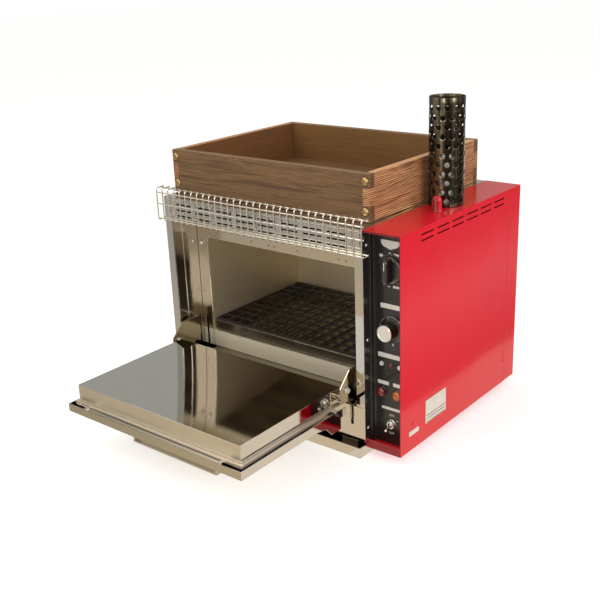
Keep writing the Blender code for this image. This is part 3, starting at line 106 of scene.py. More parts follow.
class Tree:
    """The node tree of a material or a world, with short calls for its nodes."""

    def __init__(self, owner):
        owner.use_nodes = True
        self.tree = owner.node_tree
        self.tree.nodes.clear()

    def node(self, kind, **values):
        made = self.tree.nodes.new(kind)
        for key, value in values.items():
            setattr(made, key, value)
        return made

    def link(self, out, into):
        self.tree.links.new(out, into)

    def give(self, socket, value):
        """Links an output to a socket, or sets the socket to a constant."""
        if isinstance(value, bpy.types.NodeSocket):
            self.link(value, socket)
        elif socket.type == "RGBA":
            socket.default_value = (*value, 1.0)
        else:
            socket.default_value = value

    def feed(self, made, **inputs):
        """Gives each named input of a node its value, with _ for a space, and returns the node."""
        for key, value in inputs.items():
            self.give(made.inputs[key.replace("_", " ")], value)
        return made

    def apart(self, source):
        """The X, Y and Z of the place in object space, or of the normal there."""
        made = self.node("ShaderNodeSeparateXYZ")
        self.link(self.node("ShaderNodeTexCoord").outputs[source], made.inputs[0])
        return made.outputs

    def ramp(self, value, stops):
        made = self.node("ShaderNodeValToRGB")
        made.color_ramp.interpolation = "LINEAR"
        while len(made.color_ramp.elements) < len(stops):
            made.color_ramp.elements.new(0.5)
        for element, (place, colour) in zip(made.color_ramp.elements, stops):
            element.position = place
            if isinstance(colour, (int, float)):
                colour = (colour, colour, colour)
            element.color = (*colour, 1.0)
        self.link(value, made.inputs["Fac"])
        return made.outputs["Color"]

    def mix(self, factor, first, second):
        made = self.node("ShaderNodeMix", data_type="RGBA", blend_type="MIX")
        for number, value in ((0, factor), (6, first), (7, second)):
            self.give(made.inputs[number], value)
        return made.outputs[2]

    def maths(self, operation, first, second):
        made = self.node("ShaderNodeMath", operation=operation)
        self.give(made.inputs[0], first)
        self.give(made.inputs[1], second)
        return made.outputs[0]

    def seen(self):
        """1 for the rays that show a background: from the camera, off a mirror or through a lens."""
        rays = self.node("ShaderNodeLightPath").outputs
        direct = self.maths("MAXIMUM", rays["Is Camera Ray"], rays["Is Glossy Ray"])
        return self.maths("MAXIMUM", direct, rays["Is Transmission Ray"])


class Look(Tree):
    """One surface's material; each value is a constant of its shader."""

    def __init__(self, name, **values):
        self.mat = bpy.data.materials.new(name)
        super().__init__(self.mat)
        out = self.node("ShaderNodeOutputMaterial")
        self.shader = self.node("ShaderNodeBsdfPrincipled")
        self.link(self.shader.outputs[0], out.inputs["Surface"])
        self.coords = self.node("ShaderNodeTexCoord").outputs["Object"]
        self.feed(self.shader, **values)

    def stretched(self, x, y, z):
        return self.feed(self.node("ShaderNodeMapping"), Vector=self.coords, Scale=(x, y, z)).outputs[0]

    def noise(self, scale, detail=2.0, rough=0.5, distortion=0.0, vector=None):
        made = self.feed(
            self.node("ShaderNodeTexNoise"), Vector=self.coords if vector is None else vector,
            Scale=scale, Detail=detail, Roughness=rough, Distortion=distortion,
        )
        return made.outputs["Fac"]

    def span(self, value, low, high):
        return self.feed(self.node("ShaderNodeMapRange"), Value=value, To_Min=low, To_Max=high).outputs[0]

    def bump(self, height, strength, distance, under=None):
        made = self.feed(self.node("ShaderNodeBump"), Height=height, Strength=strength, Distance=distance)
        if under is not None:
            self.link(under, made.inputs["Normal"])
        return made.outputs["Normal"]

    def waves(self):
        """The slight swell of rolled sheet."""
        return self.bump(self.noise(5.0, 1.0, 0.4), 0.025, 0.02)

    def brushed(self, strength, under=None, brush=(8.0, 900.0, 900.0)):
        return self.bump(self.noise(1.0, 2.0, 0.6, vector=self.stretched(*brush)), strength, 0.0004, under)

    def toned(self, cloud, colour, share):
        """A colour that a cloud dims to a share of itself."""
        return self.mix(cloud, times(colour, share), colour)

    def done(self, **inputs):
        self.feed(self.shader, **inputs)
        return self.mat


def times(colour, share):
    return tuple(part * share for part in colour)


def steel(name, colour, low, high, brush=(8.0, 900.0, 900.0), brush_bump=0.02):
    """Metal from low to high roughness; brush is how fine its strokes are along each axis."""
    look = Look(name, Metallic=1.0)
    return look.done(
        Roughness=look.span(look.noise(9.0, 4.0, 0.6), low, high),
        Base_Color=look.toned(look.noise(22.0, 3.0, 0.6), colour, 0.93),
        Normal=look.brushed(brush_bump, look.waves(), brush),
    )


def enamel(name, colour, low=0.12, high=0.2, peel=0.03, coat=1.0, shine=0.5, front=None):
    """Stove enamel; front, where given, is a darker tone painted as shade on the faces that look along -Y."""
    look = Look(name, Coat_Weight=coat, Coat_Roughness=0.03, IOR=1.5, Specular_IOR_Level=shine)
    paint = look.toned(look.noise(14.0, 3.0, 0.55), colour, 0.9)
    if front:
        # painted shade: the faces that look along -Y take the darker front tone
        paint = look.mix(look.maths("GREATER_THAN", look.apart("Normal")[1], -0.5), front, paint)
    drift = look.bump(look.noise(7.0, 1.0), 0.04, 0.02)
    normal = look.bump(look.noise(420.0, 2.0), peel, 0.0004, drift)
    roughness = look.span(look.noise(60.0, 3.0), low, high)
    return look.done(Base_Color=paint, Roughness=roughness, Normal=normal, Coat_Normal=normal)


def moulded(name, colour, low, high, grain=0.05, coat=0.0):
    look = Look(name, IOR=1.5, Coat_Weight=coat, Coat_Roughness=0.08)
    return look.done(
        Base_Color=look.toned(look.noise(70.0, 2.0), colour, 0.8),
        Roughness=look.span(look.noise(160.0, 3.0), low, high),
        Normal=look.bump(look.noise(900.0, 2.0), grain, 0.0002),
    )


def wood(name, along, pale, mid, dark, inside_shade, inner_axis=None, contrast=1.0, lines_per=120.0):
    """Stained softwood; along is the axis number of the grain.

    The face that looks along inner_axis, an axis number and a sign, takes the last tone given, a darker one
    painted on as shade for the crate's inner faces.
    """
    look = Look(name, Specular_IOR_Level=0.35)

    def grained(across, lengthwise):
        scales = [across] * 3
        scales[along] = lengthwise
        return look.stretched(*scales)

    bands = look.feed(
        look.node("ShaderNodeTexWave", wave_type="BANDS", bands_direction="Z"), Vector=grained(1.0, 0.1),
        Scale=lines_per, Distortion=9.0, Detail=3.0, Detail_Scale=0.55, Detail_Roughness=0.6,
    )
    rings = look.noise(2.2, 5.0, 0.66, 0.8, grained(60.0, 3.0))
    fibres = look.noise(1.0, 3.0, 0.65, vector=grained(1300.0, 22.0))
    body = look.ramp(rings, [(0.3, dark), (0.45, mid), (0.57, pale), (0.68, mid), (0.8, dark)])
    lines = look.ramp(bands.outputs["Fac"], [(0.0, 1.0), (0.18, 0.75), (0.5, 0.12), (1.0, 0.0)])
    body = look.mix(look.maths("MULTIPLY", lines, 0.68 * contrast), body, dark)
    pores = look.ramp(fibres, [(0.34, 1.0), (0.48, 0.25), (0.62, 0.0)])
    body = look.mix(look.maths("MULTIPLY", pores, 0.6 * contrast), body, times(dark, 0.55))
    facing = look.apart("Normal")
    if inner_axis is not None:
        axis, sign = inner_axis
        # painted shade: the faces that look into the crate take the darker tone
        inward = look.maths("GREATER_THAN", look.maths("MULTIPLY", facing[axis], float(sign)), 0.6)
        body = look.mix(inward, body, look.mix(rings, times(inside_shade, 0.8), times(inside_shade, 1.8)))
    # the faces that look up are paler in patches
    top = look.maths("GREATER_THAN", facing[2], 0.45)
    paler_top = look.maths("MULTIPLY", top, look.span(rings, 0.35, 0.9))
    return look.done(
        Base_Color=look.mix(paler_top, body, times(pale, 1.25)),
        Roughness=look.span(fibres, 0.45, 0.7),
        Normal=look.bump(fibres, 0.35, 0.0006, look.bump(lines, 0.2, 0.0012)),
    )


def two_finish(name, source, axis, limit, first, second, dish=0.0, dish_from=0.0):
    """Steel whose finish is first up to a limit along an axis of the place or the normal, then second.

    A finish is (colour, metallic, roughness). The upper face may seem dished in a mirror image:
    it rises as the square of the distance before dish_from along Y.
    """
    look = Look(name)
    past = look.maths("GREATER_THAN", look.apart(source)[axis], limit)
    tone = look.noise(22.0, 3.0, 0.6)
    shades = [look.toned(tone, finish[0], 0.93) for finish in (first, second)]
    smear = look.span(look.noise(9.0, 4.0, 0.6), 0.8, 1.2)
    under = look.waves()
    if dish:
        ahead = look.maths("SUBTRACT", dish_from, look.apart("Object")[1])
        rise = look.maths("MULTIPLY", look.maths("MULTIPLY", ahead, ahead), dish)
        rise = look.maths("MULTIPLY", rise, look.maths("GREATER_THAN", look.apart("Normal")[2], 0.5))
        under = look.bump(rise, 1.0, 1.0, under)
    return look.done(
        Base_Color=look.mix(past, *shades),
        Metallic=look.span(past, first[1], second[1]),
        Roughness=look.maths("MULTIPLY", smear, look.span(past, first[2], second[2])),
        Normal=look.brushed(0.03, under),
    )


def chamber_look():
    """Straw-coloured sheet with painted light that makes it paler to the right, and a darker ceiling."""
    look = Look("chamber_steel", Metallic=0.7)
    # painted light: the tone follows X, so the walls are paler to the right
    painted_light_x = look.maths("ADD", look.apart("Object")[0], look.span(look.noise(12.0, 3.0), -0.06, 0.06))
    walls = look.ramp(look.maths("ADD", painted_light_x, 0.5), [
        (0.4, (0.76, 0.64, 0.45)), (0.54, (0.9, 0.75, 0.54)), (0.66, (1.0, 0.88, 0.66)),
    ])
    # the faces that look down take a darker, streaked tone
    ceiling_tone = look.ramp(look.noise(1.0, 3.0, vector=look.stretched(6.0, 40.0, 40.0)), [
        (0.3, (0.13, 0.11, 0.07)), (0.7, (0.34, 0.29, 0.2)),
    ])
    return look.done(
        Base_Color=look.mix(look.maths("LESS_THAN", look.apart("Normal")[2], -0.5), walls, ceiling_tone),
        Roughness=look.span(look.noise(9.0, 4.0, 0.6), 0.32, 0.46),
        Normal=look.brushed(0.08),
    )


def iron_look():
    look = Look("black_iron", Metallic=0.0, Specular_IOR_Level=0.4)
    return look.done(
        Base_Color=look.ramp(look.noise(160.0, 4.0, 0.7), [
            (0.35, (0.012, 0.011, 0.01)), (0.7, (0.035, 0.03, 0.025)),
        ]),
        Roughness=look.span(look.noise(240.0, 3.0), 0.38, 0.62),
        Normal=look.bump(look.noise(700.0, 4.0, 0.7), 0.5, 0.0005),
    )


def smoked_look():
    look = Look("smoked_steel", Metallic=1.0)
    streaks = look.noise(1.0, 3.0, 0.6, vector=look.stretched(160.0, 160.0, 5.0))
    return look.done(
        Base_Color=look.ramp(streaks, [
            (0.36, (0.03, 0.025, 0.017)), (0.52, (0.085, 0.072, 0.05)), (0.66, (0.3, 0.26, 0.19)),
        ]),
        Roughness=look.span(look.noise(1.0, 3.0, vector=look.stretched(60.0, 60.0, 12.0)), 0.12, 0.3),
        Normal=look.bump(streaks, 0.15, 0.0006),
    )


def flue_look():
    """Dull tube with a painted highlight down its front right and painted shade round its sides."""
    look = Look("flue_metal", Metallic=0.3)
    toward = look.node("ShaderNodeVectorMath", operation="DOT_PRODUCT")
    look.link(look.node("ShaderNodeTexCoord").outputs["Normal"], toward.inputs[0])
    toward.inputs[1].default_value = (0.5, -0.866, 0.0)
    # painted highlight: the colour turns bright where the normal faces the front right, and dark elsewhere as
    # shade
    streak = look.maths("ADD", toward.outputs["Value"], look.span(look.noise(90.0, 3.0), -0.02, 0.02))
    return look.done(
        Base_Color=look.ramp(streak, [
            (0.82, (0.1, 0.09, 0.075)), (0.9, (0.34, 0.31, 0.27)),
            (0.955, (0.92, 0.9, 0.84)), (1.0, (0.95, 0.93, 0.88)),
        ]),
        Roughness=look.span(look.noise(40.0, 2.0), 0.3, 0.45),
    )


def lens(name, colour, deep):
    look = Look(
        name, Roughness=0.06, IOR=1.49, Transmission_Weight=0.35, Coat_Weight=1.0, Coat_Roughness=0.03,
    )
    rise = look.feed(look.node("ShaderNodeLayerWeight"), Blend=0.35)
    swirl = look.mix(look.noise(220.0, 2.0), deep, colour)
    return look.done(
        Base_Color=look.mix(rise.outputs["Facing"], swirl, deep),
        Normal=look.bump(look.noise(500.0, 1.0), 0.04, 0.0003),
    )


STEEL = (0.74, 0.71, 0.66)
POLISHED = (STEEL, 1.0, 0.04)
mirror = steel("mirror_steel", STEEL, 0.02, 0.06)
satin = steel("satin_steel", (0.62, 0.59, 0.53), 0.22, 0.34, brush_bump=0.12)
soft_mirror = steel("recess_steel", STEEL, 0.09, 0.15)
arm_steel = steel("arm_steel", (0.56, 0.49, 0.36), 0.08, 0.18)
tray_steel = steel("tray_steel", (0.3, 0.28, 0.235), 0.12, 0.28)
wire = steel("steel_wire", (0.88, 0.84, 0.75), 0.2, 0.34, (300.0, 300.0, 300.0), 0.03)
bright = steel("bright_metal", (0.8, 0.79, 0.76), 0.08, 0.2, (500.0, 500.0, 500.0), 0.05)
cap = steel("silver_cap", (0.95, 0.91, 0.84), 0.2, 0.34, (900.0, 30.0, 900.0), 0.12)
brass = steel("brass_nail", (0.5, 0.35, 0.16), 0.26, 0.45, (300.0, 300.0, 300.0), 0.1)

SILL_TOP = 0.1045
DISH = 0.126  # how strongly the door block's mirror image curves
flange_steel = two_finish(
    "flange_steel", "Object", 2, SILL_TOP, ((0.98, 0.88, 0.68), 0.42, 0.36), ((0.78, 0.67, 0.51), 1.0, 0.15),
)
block_back = max(vert.co.y for vert in nodes["door_block"].data.vertices)
block_steel = two_finish(
    "block_steel", "Normal", 1, -0.5, ((0.7, 0.63, 0.51), 0.9, 0.3), POLISHED, DISH, block_back,
)
pan_steel = two_finish(
    "pan_steel", "Normal", 1, -0.5, ((0.55, 0.52, 0.43), 1.0, 0.22), (STEEL, 1.0, 0.06),
)
lower_steel = two_finish("lower_steel", "Normal", 2, 0.5, POLISHED, ((0.2, 0.18, 0.13), 1.0, 0.12))
plate_steel = two_finish(
    "plate_steel", "Normal", 2, 0.5, ((0.8, 0.7, 0.58), 0.75, 0.32), ((0.8, 0.7, 0.58), 0.75, 0.3),
)
oven_wall, iron, smoked, flue_metal = chamber_look(), iron_look(), smoked_look(), flue_look()

# the red box's faces toward the front get a painted shade through the front tone
red = enamel("red_paint", (0.84, 0.012, 0.03), coat=0.25, shine=0.32, front=(0.26, 0.01, 0.014))
black_paint = enamel("black_paint", (0.014, 0.014, 0.015), 0.25, 0.4, 0.05, 0.5)
black_plastic = moulded("black_plastic", (0.02, 0.019, 0.018), 0.16, 0.28, coat=0.8)
white_plastic = moulded("white_plastic", (0.8, 0.76, 0.68), 0.3, 0.42)
plum = moulded("plum_plastic", (0.12, 0.018, 0.05), 0.25, 0.4, coat=0.4)
rubber = moulded("black_rubber", (0.022, 0.021, 0.02), 0.6, 0.75, 0.3)
white_ink = moulded("white_ink", (0.8, 0.77, 0.7), 0.4, 0.55)
label_face = moulded("label_face", (0.78, 0.75, 0.67), 0.25, 0.4, 0.04)
plate_face = moulded("plate_face", (0.88, 0.84, 0.74), 0.25, 0.4, 0.04)
red_lens = lens("red_lens", (0.4, 0.008, 0.014), (0.12, 0.002, 0.004))
amber_lens = lens("amber_lens", (0.95, 0.3, 0.03), (0.5, 0.09, 0.008))

# Each board's tones are pale, mid, dark and a darker one painted on its inner faces as shade.
wood_front = wood(
    "wood_front", 0, (0.25, 0.135, 0.056), (0.165, 0.087, 0.036), (0.066, 0.033, 0.014),
    (0.12, 0.05, 0.015), (1, 1), 0.8, 150.0,
)
wood_back = wood(
    "wood_back", 0, (0.27, 0.15, 0.062), (0.18, 0.098, 0.04), (0.08, 0.042, 0.018),
    (0.15, 0.073, 0.022), (1, -1), 0.6,
)
wood_right = wood(
    "wood_right", 1, (0.78, 0.42, 0.19), (0.6, 0.29, 0.125), (0.12, 0.034, 0.012),
    (0.12, 0.05, 0.015), (0, -1), 1.3, 110.0,
)
wood_left = wood(
    "wood_left", 1, (0.5, 0.24, 0.1), (0.36, 0.16, 0.065), (0.12, 0.036, 0.013),
    (0.14, 0.058, 0.018), (0, 1), 1.1, 100.0,
)
wood_floor = wood(
    "wood_floor", 0, (0.2, 0.1, 0.045), (0.13, 0.058, 0.022), (0.07, 0.028, 0.01), (0.1, 0.04, 0.015),
)

# ---------------------------------------------------------------- CAD nodes

LOOKS = (
    (mirror, "plinth cabinet_shell cabinet_floor cabinet_back louvre_panel"),
    (satin, "plinth_rail_left plinth_rail_right hinge_yoke_left hinge_yoke_right door_handle"),
    (lower_steel, "lower_front_panel"), (soft_mirror, "recess_liner"), (flange_steel, "inner_flange"),
    (oven_wall, "chamber_liner"), (tray_steel, "tray"), (iron, "rack"), (pan_steel, "door_pan"),
    (plate_steel, "door_inner_plate"), (block_steel, "door_block"),
    (arm_steel, "door_arm_left door_arm_right"),
    (bright, "arm_bolt_left arm_bolt_right switch_nut switch_lever inner_flue"),
    (red, "control_shell control_back_cover red_post"), (black_paint, "control_panel timer_dial"),
    (black_plastic, "timer_knob thermostat_knob"), (cap, "thermostat_cap"),
    (white_plastic, "indicator_left indicator_right"), (plum, "indicator_middle"),
    (red_lens, "lamp_red"), (amber_lens, "lamp_amber"), (plate_face, "rating_plate"),
    (smoked, "chimney_guard"), (rubber, "cord_inlet"), (wire, "wire_guard"),
    (wood_front, "crate_front"), (wood_back, "crate_back"), (wood_left, "crate_left"),
    (wood_right, "crate_right"), (wood_floor, "crate_floor"),
)
looks = {name: look for look, names in LOOKS for name in names.split()}
for name, node in nodes.items():
    look = looks.get(name, brass)
    if not node.data.materials:
        node.data.materials.append(look)
    for number in range(len(node.material_slots)):
        node.material_slots[number].material = look

ROUNDING = (
    (0.0002, "rating_plate"),
    (0.0003, "cabinet_floor cabinet_back louvre_panel door_handle control_panel"),
    (0.0003, "plinth_rail_left plinth_rail_right hinge_yoke_left hinge_yoke_right"),
    (0.0004, "plinth lower_front_panel recess_liner inner_flange chamber_liner tray door_inner_plate"),
    (0.0004, "arm_bolt_left arm_bolt_right crate_floor indicator_left indicator_right"),
    (0.00045, "door_pan"),
    (0.0005, "cabinet_shell door_block cord_inlet indicator_middle"),
    (0.0006, "door_arm_left door_arm_right control_shell control_back_cover"),
    (0.0007, "rack crate_front crate_back crate_left crate_right"),
)
for width, names in ROUNDING:
    for name in names.split():
        weld = nodes[name].modifiers.new("weld", "WELD")
        weld.merge_threshold = 0.000004
        flat = nodes[name].modifiers.new("flat", "DECIMATE")
        flat.decimate_type = "DISSOLVE"
        flat.angle_limit = math.radians(0.6)
        soft = nodes[name].modifiers.new("edges", "BEVEL")
        soft.width = width
        soft.segments = 2
        soft.limit_method = "ANGLE"
        soft.angle_limit = math.radians(35)
        soft.use_clamp_overlap = True

# ---------------------------------------------------------------- piece helpers


def piece(name, mesh, body, look, angle=35.0):
    data = bpy.data.meshes.new(name)
    bmesh.ops.recalc_face_normals(mesh, faces=mesh.faces)
    mesh.to_mesh(data)
    mesh.free()
    data.materials.append(look)
    made = linked(name, data)
    if angle:
        data.shade_smooth()
        data.set_sharp_from_angle(angle=math.radians(angle))
    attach(made, body)
    return made


def join_rings(mesh, rings):
    """Adds the faces between each closed ring of vertices and the next."""
    for first, second in zip(rings, rings[1:]):
        for step in range(len(first)):
            after = (step + 1) % len(first)
            mesh.faces.new((first[step], first[after], second[after], second[step]))


def turned(mesh, profile, centre, axis, segments=32):
    """Adds a closed surface of revolution; profile runs from one end to the other as (radius, along)."""
    axis = Vector(axis).normalized()
    side = axis.orthogonal().normalized()
    other = axis.cross(side)
    rings = []
    for radius, along in profile:
        middle = Vector(centre) + axis * along
        ring = []
        for step in range(segments if radius else 1):
            turn = 2 * math.pi * step / segments
            out = side * math.cos(turn) + other * math.sin(turn)
            ring.append(mesh.verts.new(middle + out * radius))
        rings.append(ring)
    for first, second in zip(rings, rings[1:]):
        for step in range(segments):
            after = (step + 1) % segments
            corners = []
            for ring, places in ((first, (step, after)), (second, (after, step))):
                for place in places:
                    vert = ring[place] if len(ring) > 1 else ring[0]
                    if vert not in corners:
                        corners.append(vert)
            if len(corners) > 2:
                mesh.faces.new(corners)
    if len(rings[0]) > 1:
        mesh.faces.new(list(reversed(rings[0])))
    if len(rings[-1]) > 1:
        mesh.faces.new(rings[-1])


def hollow(mesh, profile, centre, axis, segments):
    """Adds a ring, whose profile ends where it begins, so it needs no end faces."""
    before = set(mesh.faces)
    turned(mesh, profile, centre, axis, segments)
    ends = [face for face in mesh.faces if face not in before and len(face.verts) > 4]
    bmesh.ops.delete(mesh, geom=ends, context="FACES_ONLY")
    bmesh.ops.remove_doubles(mesh, verts=mesh.verts, dist=0.00001)


def wire_run(mesh, points, radius, sides=10):
    """Adds a round wire with domed ends along a list of points."""
    points = [Vector(point) for point in points]
    last = len(points) - 1
    tangents = [(points[min(n + 1, last)] - points[max(n - 1, 0)]).normalized() for n in range(last + 1)]
    side = tangents[0].orthogonal().normalized()
    rings = []
    for number, (point, tangent) in enumerate(zip(points, tangents)):
        side = (side - tangent * side.dot(tangent)).normalized()
        other = tangent.cross(side)
        layers = [(0.0, 1.0)]
        if number == 0:
            layers = [(-0.8, 0.45), (-0.5, 0.85), (0.0, 1.0)]
        if number == last:
            layers = [(0.0, 1.0), (0.5, 0.85), (0.8, 0.45)]
        for shift, share in layers:
            ring = []
            for step in range(sides):
                turn = 2 * math.pi * step / sides
                out = side * math.cos(turn) + other * math.sin(turn)
                ring.append(mesh.verts.new(point + tangent * shift * radius + out * radius * share))
            rings.append(ring)
    join_rings(mesh, rings)
    mesh.faces.new(list(reversed(rings[0])))
    mesh.faces.new(rings[-1])


def bend(corners, radius, steps=5):
    """Rounds the inner corners of a path."""
    corners = [Vector(corner) for corner in corners]
    path = [corners[0]]
    for before, corner, after in zip(corners, corners[1:], corners[2:]):
        back = (before - corner).normalized()
        ahead = (after - corner).normalized()
        half = back.angle(ahead) / 2
        reach = radius / math.tan(half)
        middle = corner + (back + ahead).normalized() * (radius / math.sin(half))
        first = corner + back * reach - middle
        last = corner + ahead * reach - middle
        for step in range(steps + 1):
            turned_to = first.normalized().slerp(last.normalized(), step / steps)
            path.append(middle + turned_to.normalized() * radius)
    path.append(corners[-1])
    return path


def slab(mesh, low, high, edge=0.0):
    """Adds a box; edge is the width of its rounded edges."""
    low, high = Vector(low), Vector(high)
    verts = bmesh.ops.create_cube(mesh, size=1.0)["verts"]
    for vert in verts:
        vert.co = (low + high) / 2 + Vector(a * b for a, b in zip(vert.co, high - low))
    if edge:
        edges = list({side for vert in verts for side in vert.link_edges})
        bmesh.ops.bevel(mesh, geom=edges, offset=edge, segments=2, profile=0.5, affect="EDGES")


def boxes(name, body, look, edge, corners):
    """Makes a piece of boxes from pairs of opposite corners."""
    mesh = bmesh.new()
    for low, high in corners:
        slab(mesh, low, high, edge)
    return piece(name, mesh, body, look, 30 if edge else 0)


def tag(mesh, points, plane, at, thickness, out):
    """Adds a thin plate from an outline; plane 'xz' faces the front, 'yz' the right side."""
    def place(first, second, depth):
        return mesh.verts.new((first, depth, second) if plane == "xz" else (depth, first, second))

    shrink = 0.00012
    middle = [sum(a for a, b in points) / len(points), sum(b for a, b in points) / len(points)]
    outer = []
    for a, b in points:
        reach = Vector((a - middle[0], b - middle[1]))
        reach *= 1 - shrink / max(reach.length, 1e-6)
        outer.append((middle[0] + reach.x, middle[1] + reach.y))
    inner = [place(a, b, at) for a, b in points]
    edge = [place(a, b, at + out * thickness * 0.6) for a, b in points]
    top = [place(a, b, at + out * thickness) for a, b in outer]
    join_rings(mesh, [inner, edge, top])
    mesh.faces.new(top)
    mesh.faces.new(list(reversed(inner)))


def round_corners(left, low, right, high, radius, steps=4):
    points = []
    for cx, cz, begin in ((right - radius, high - radius, 0), (left + radius, high - radius, 90),
                          (left + radius, low + radius, 180), (right - radius, low + radius, 270)):
        for step in range(steps + 1):
            turn = math.radians(begin + 90 * step / steps)
            points.append((cx + radius * math.cos(turn), cz + radius * math.sin(turn)))
    return points


def screw(mesh, centre, axis, radius, rise=1.0):
    """Adds a domed screw head that stands on the surface."""
    tall = radius * rise
    turned(mesh, [
        (radius, -0.0003), (radius, tall * 0.16), (radius * 0.93, tall * 0.34),
        (radius * 0.74, tall * 0.5), (radius * 0.45, tall * 0.6), (radius * 0.22, tall * 0.62),
        (radius * 0.2, tall * 0.3), (0.0, tall * 0.28),
    ], centre, axis, 20)


# ---------------------------------------------------------------- wire guard

WIRE_RADIUS, WIRES, MESH_PITCH = 0.00105, 32, 0.0127
GUARD_LEFT, GUARD_TOP = -0.1908, 0.3585
GUARD_LOW = GUARD_TOP - 0.0514
GUARD_FRONT, GUARD_BACK = FRONT - 0.016, FRONT - 0.0005
LONG_WIRES = (GUARD_TOP - 0.0075, GUARD_TOP - 0.0257, GUARD_LOW + 0.0022)

mesh = bmesh.new()
for step in range(WIRES):
    x = GUARD_LEFT + step * MESH_PITCH + rng.uniform(-0.0002, 0.0002)
    lean = rng.uniform(-0.0003, 0.0003)
    wire_run(mesh, bend([
        (x + lean, GUARD_BACK, GUARD_TOP), (x + lean, GUARD_FRONT, GUARD_TOP),
        (x, GUARD_FRONT, GUARD_LOW), (x, GUARD_BACK, GUARD_LOW),
    ], 0.0024), WIRE_RADIUS)
ends = (GUARD_LEFT - 0.0018, GUARD_LEFT + (WIRES - 1) * MESH_PITCH + 0.0018)
for height in LONG_WIRES:
    points = []
    for share in range(9):
        x = ends[0] + (ends[1] - ends[0]) * share / 8
        points.append((x, GUARD_FRONT + 0.0017, height + 0.00025 * math.sin(share * 1.3)))
    wire_run(mesh, points, WIRE_RADIUS)
for height in (GUARD_TOP - 0.0018, GUARD_LOW + 0.0018):
    wire_run(mesh, [(end, FRONT - 0.0033, height) for end in ends], WIRE_RADIUS)
guard = piece("guard_wires", mesh, "oven", wire, 50)
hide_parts("wire_guard")
mesh = bmesh.new()
for step in range(WIRES):
    for height in LONG_WIRES:
        turned(mesh, [(0.0, -0.0011), (0.0009, -0.0008), (0.0012, 0.0), (0.0009, 0.0008), (0.0, 0.0011)],
               (GUARD_LEFT + step * MESH_PITCH, GUARD_FRONT + 0.0009, height), RIGHT, 8)
piece("guard_welds", mesh, "oven", wire, 60)

# ---------------------------------------------------------------- chimney

CX, CY = 0.21545, 0.180958 + FRONT  # the chimney's axis
CHIMNEY_LOW, CHIMNEY_TALL, CHIMNEY_RADIUS = 0.3423, 0.1562, 0.026
ROWS, COLUMNS, HOLE = 11, 12, 0.0040
FIRST, PITCH = 0.0088, 0.0133  # the lowest row's height and the rows' pitch
PER_SIDE = 8
SEAM = math.radians(1.5)


def bent(turn, height):
    return Vector((CX + CHIMNEY_RADIUS * math.cos(turn), CY + CHIMNEY_RADIUS * math.sin(turn), height))


def perforated():
    """The tube's wall: a square patch with a round hole for each place, laid like bricks."""
    mesh = bmesh.new()
    step_turn = 2 * math.pi / COLUMNS
    wide = CHIMNEY_RADIUS * step_turn
    shares = [number / PER_SIDE - 0.5 for number in range(PER_SIDE)]
    square = [(share, -0.5) for share in shares] + [(0.5, share) for share in shares]
    square += [(-share, 0.5) for share in shares] + [(-0.5, -share) for share in shares]
    for row in range(ROWS):
        centre = CHIMNEY_LOW + FIRST + row * PITCH
        for column in range(COLUMNS):
            middle = (column + (row % 2) / 2) * step_turn + SEAM
            rings = []
            for inward in (0.0, 0.55, 1.0):
                ring = []
                for a, b in square:
                    place = Vector((a * wide, b * PITCH)).lerp(Vector((a, b)).normalized() * HOLE, inward)
                    ring.append(mesh.verts.new(bent(middle + place.x / CHIMNEY_RADIUS, centre + place.y)))
                rings.append(ring)
            join_rings(mesh, rings)
    steps = COLUMNS * PER_SIDE
    turns = [SEAM - step_turn / 2 + 2 * math.pi * number / steps for number in range(steps)]
    low_row, high_row = CHIMNEY_LOW + FIRST - PITCH / 2, CHIMNEY_LOW + FIRST + (ROWS - 0.5) * PITCH
    for heights in ((CHIMNEY_LOW, low_row), (high_row, CHIMNEY_LOW + CHIMNEY_TALL)):
        join_rings(mesh, [[mesh.verts.new(bent(turn, height)) for turn in turns] for height in heights])
    bmesh.ops.remove_doubles(mesh, verts=mesh.verts, dist=0.00004)
    return mesh


tube = piece("chimney_tube", perforated(), "chimney", smoked, 0)
tube.data.shade_smooth()
thick = tube.modifiers.new("wall", "SOLIDIFY")
thick.thickness = SHEET
thick.offset = -1.0
thick.use_even_offset = True
rim = tube.modifiers.new("rims", "BEVEL")
rim.width = 0.0002
rim.segments = 2
rim.limit_method = "ANGLE"
rim.angle_limit = math.radians(50)
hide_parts("chimney_guard")

mesh = bmesh.new()
hollow(mesh, [
    (0.0178, 0.0), (0.019, 0.0), (0.019, 0.0725), (0.0193, 0.0733), (0.0191, 0.074), (0.0186, 0.0741),
    (0.018, 0.0736), (0.0178, 0.0725), (0.0178, 0.0),
], (CX, CY, CHIMNEY_LOW), UP, 64)
flue = piece("flue_tube", mesh, "oven", flue_metal, 40)
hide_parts("inner_flue")

low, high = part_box("tray")
# a bright strip along the tray's front top edge: a painted highlight
boxes("tray_edge_highlight", "tray", wire, 0.0002, [
    ((low.x + 0.0006, low.y - 0.0002, high.z - 0.0009), (high.x - 0.0006, low.y + 0.0006, high.z + 0.0001)),
])

low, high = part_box("red_post")
centre = (low + high) / 2
R = 0.0073
mesh = bmesh.new()
turned(mesh, [
    (R + 0.0012, 0.0), (R + 0.0012, 0.0006), (R + 0.0002, 0.0012), (R, 0.002), (R, 0.0155),
    (R * 0.96, 0.0178), (R * 0.82, 0.0199), (R * 0.58, 0.0213), (R * 0.3, 0.0219), (0.0, 0.022),
], (centre.x, centre.y, low.z), UP, 40)
post = piece("post_dome", mesh, "oven", red, 50)
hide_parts("red_post")

# ---------------------------------------------------------------- knobs and panel

TX, TZ = 0.22345, 0.284518  # the timer knob's axis
HX, HZ = 0.22345, 0.19699  # the thermostat knob's
SX, SZ = 0.22175, 0.048811  # the switch's
TIMER, HEAT, SWITCH = (TX, PANEL, TZ), (HX, PANEL, HZ), (SX, PANEL, SZ)


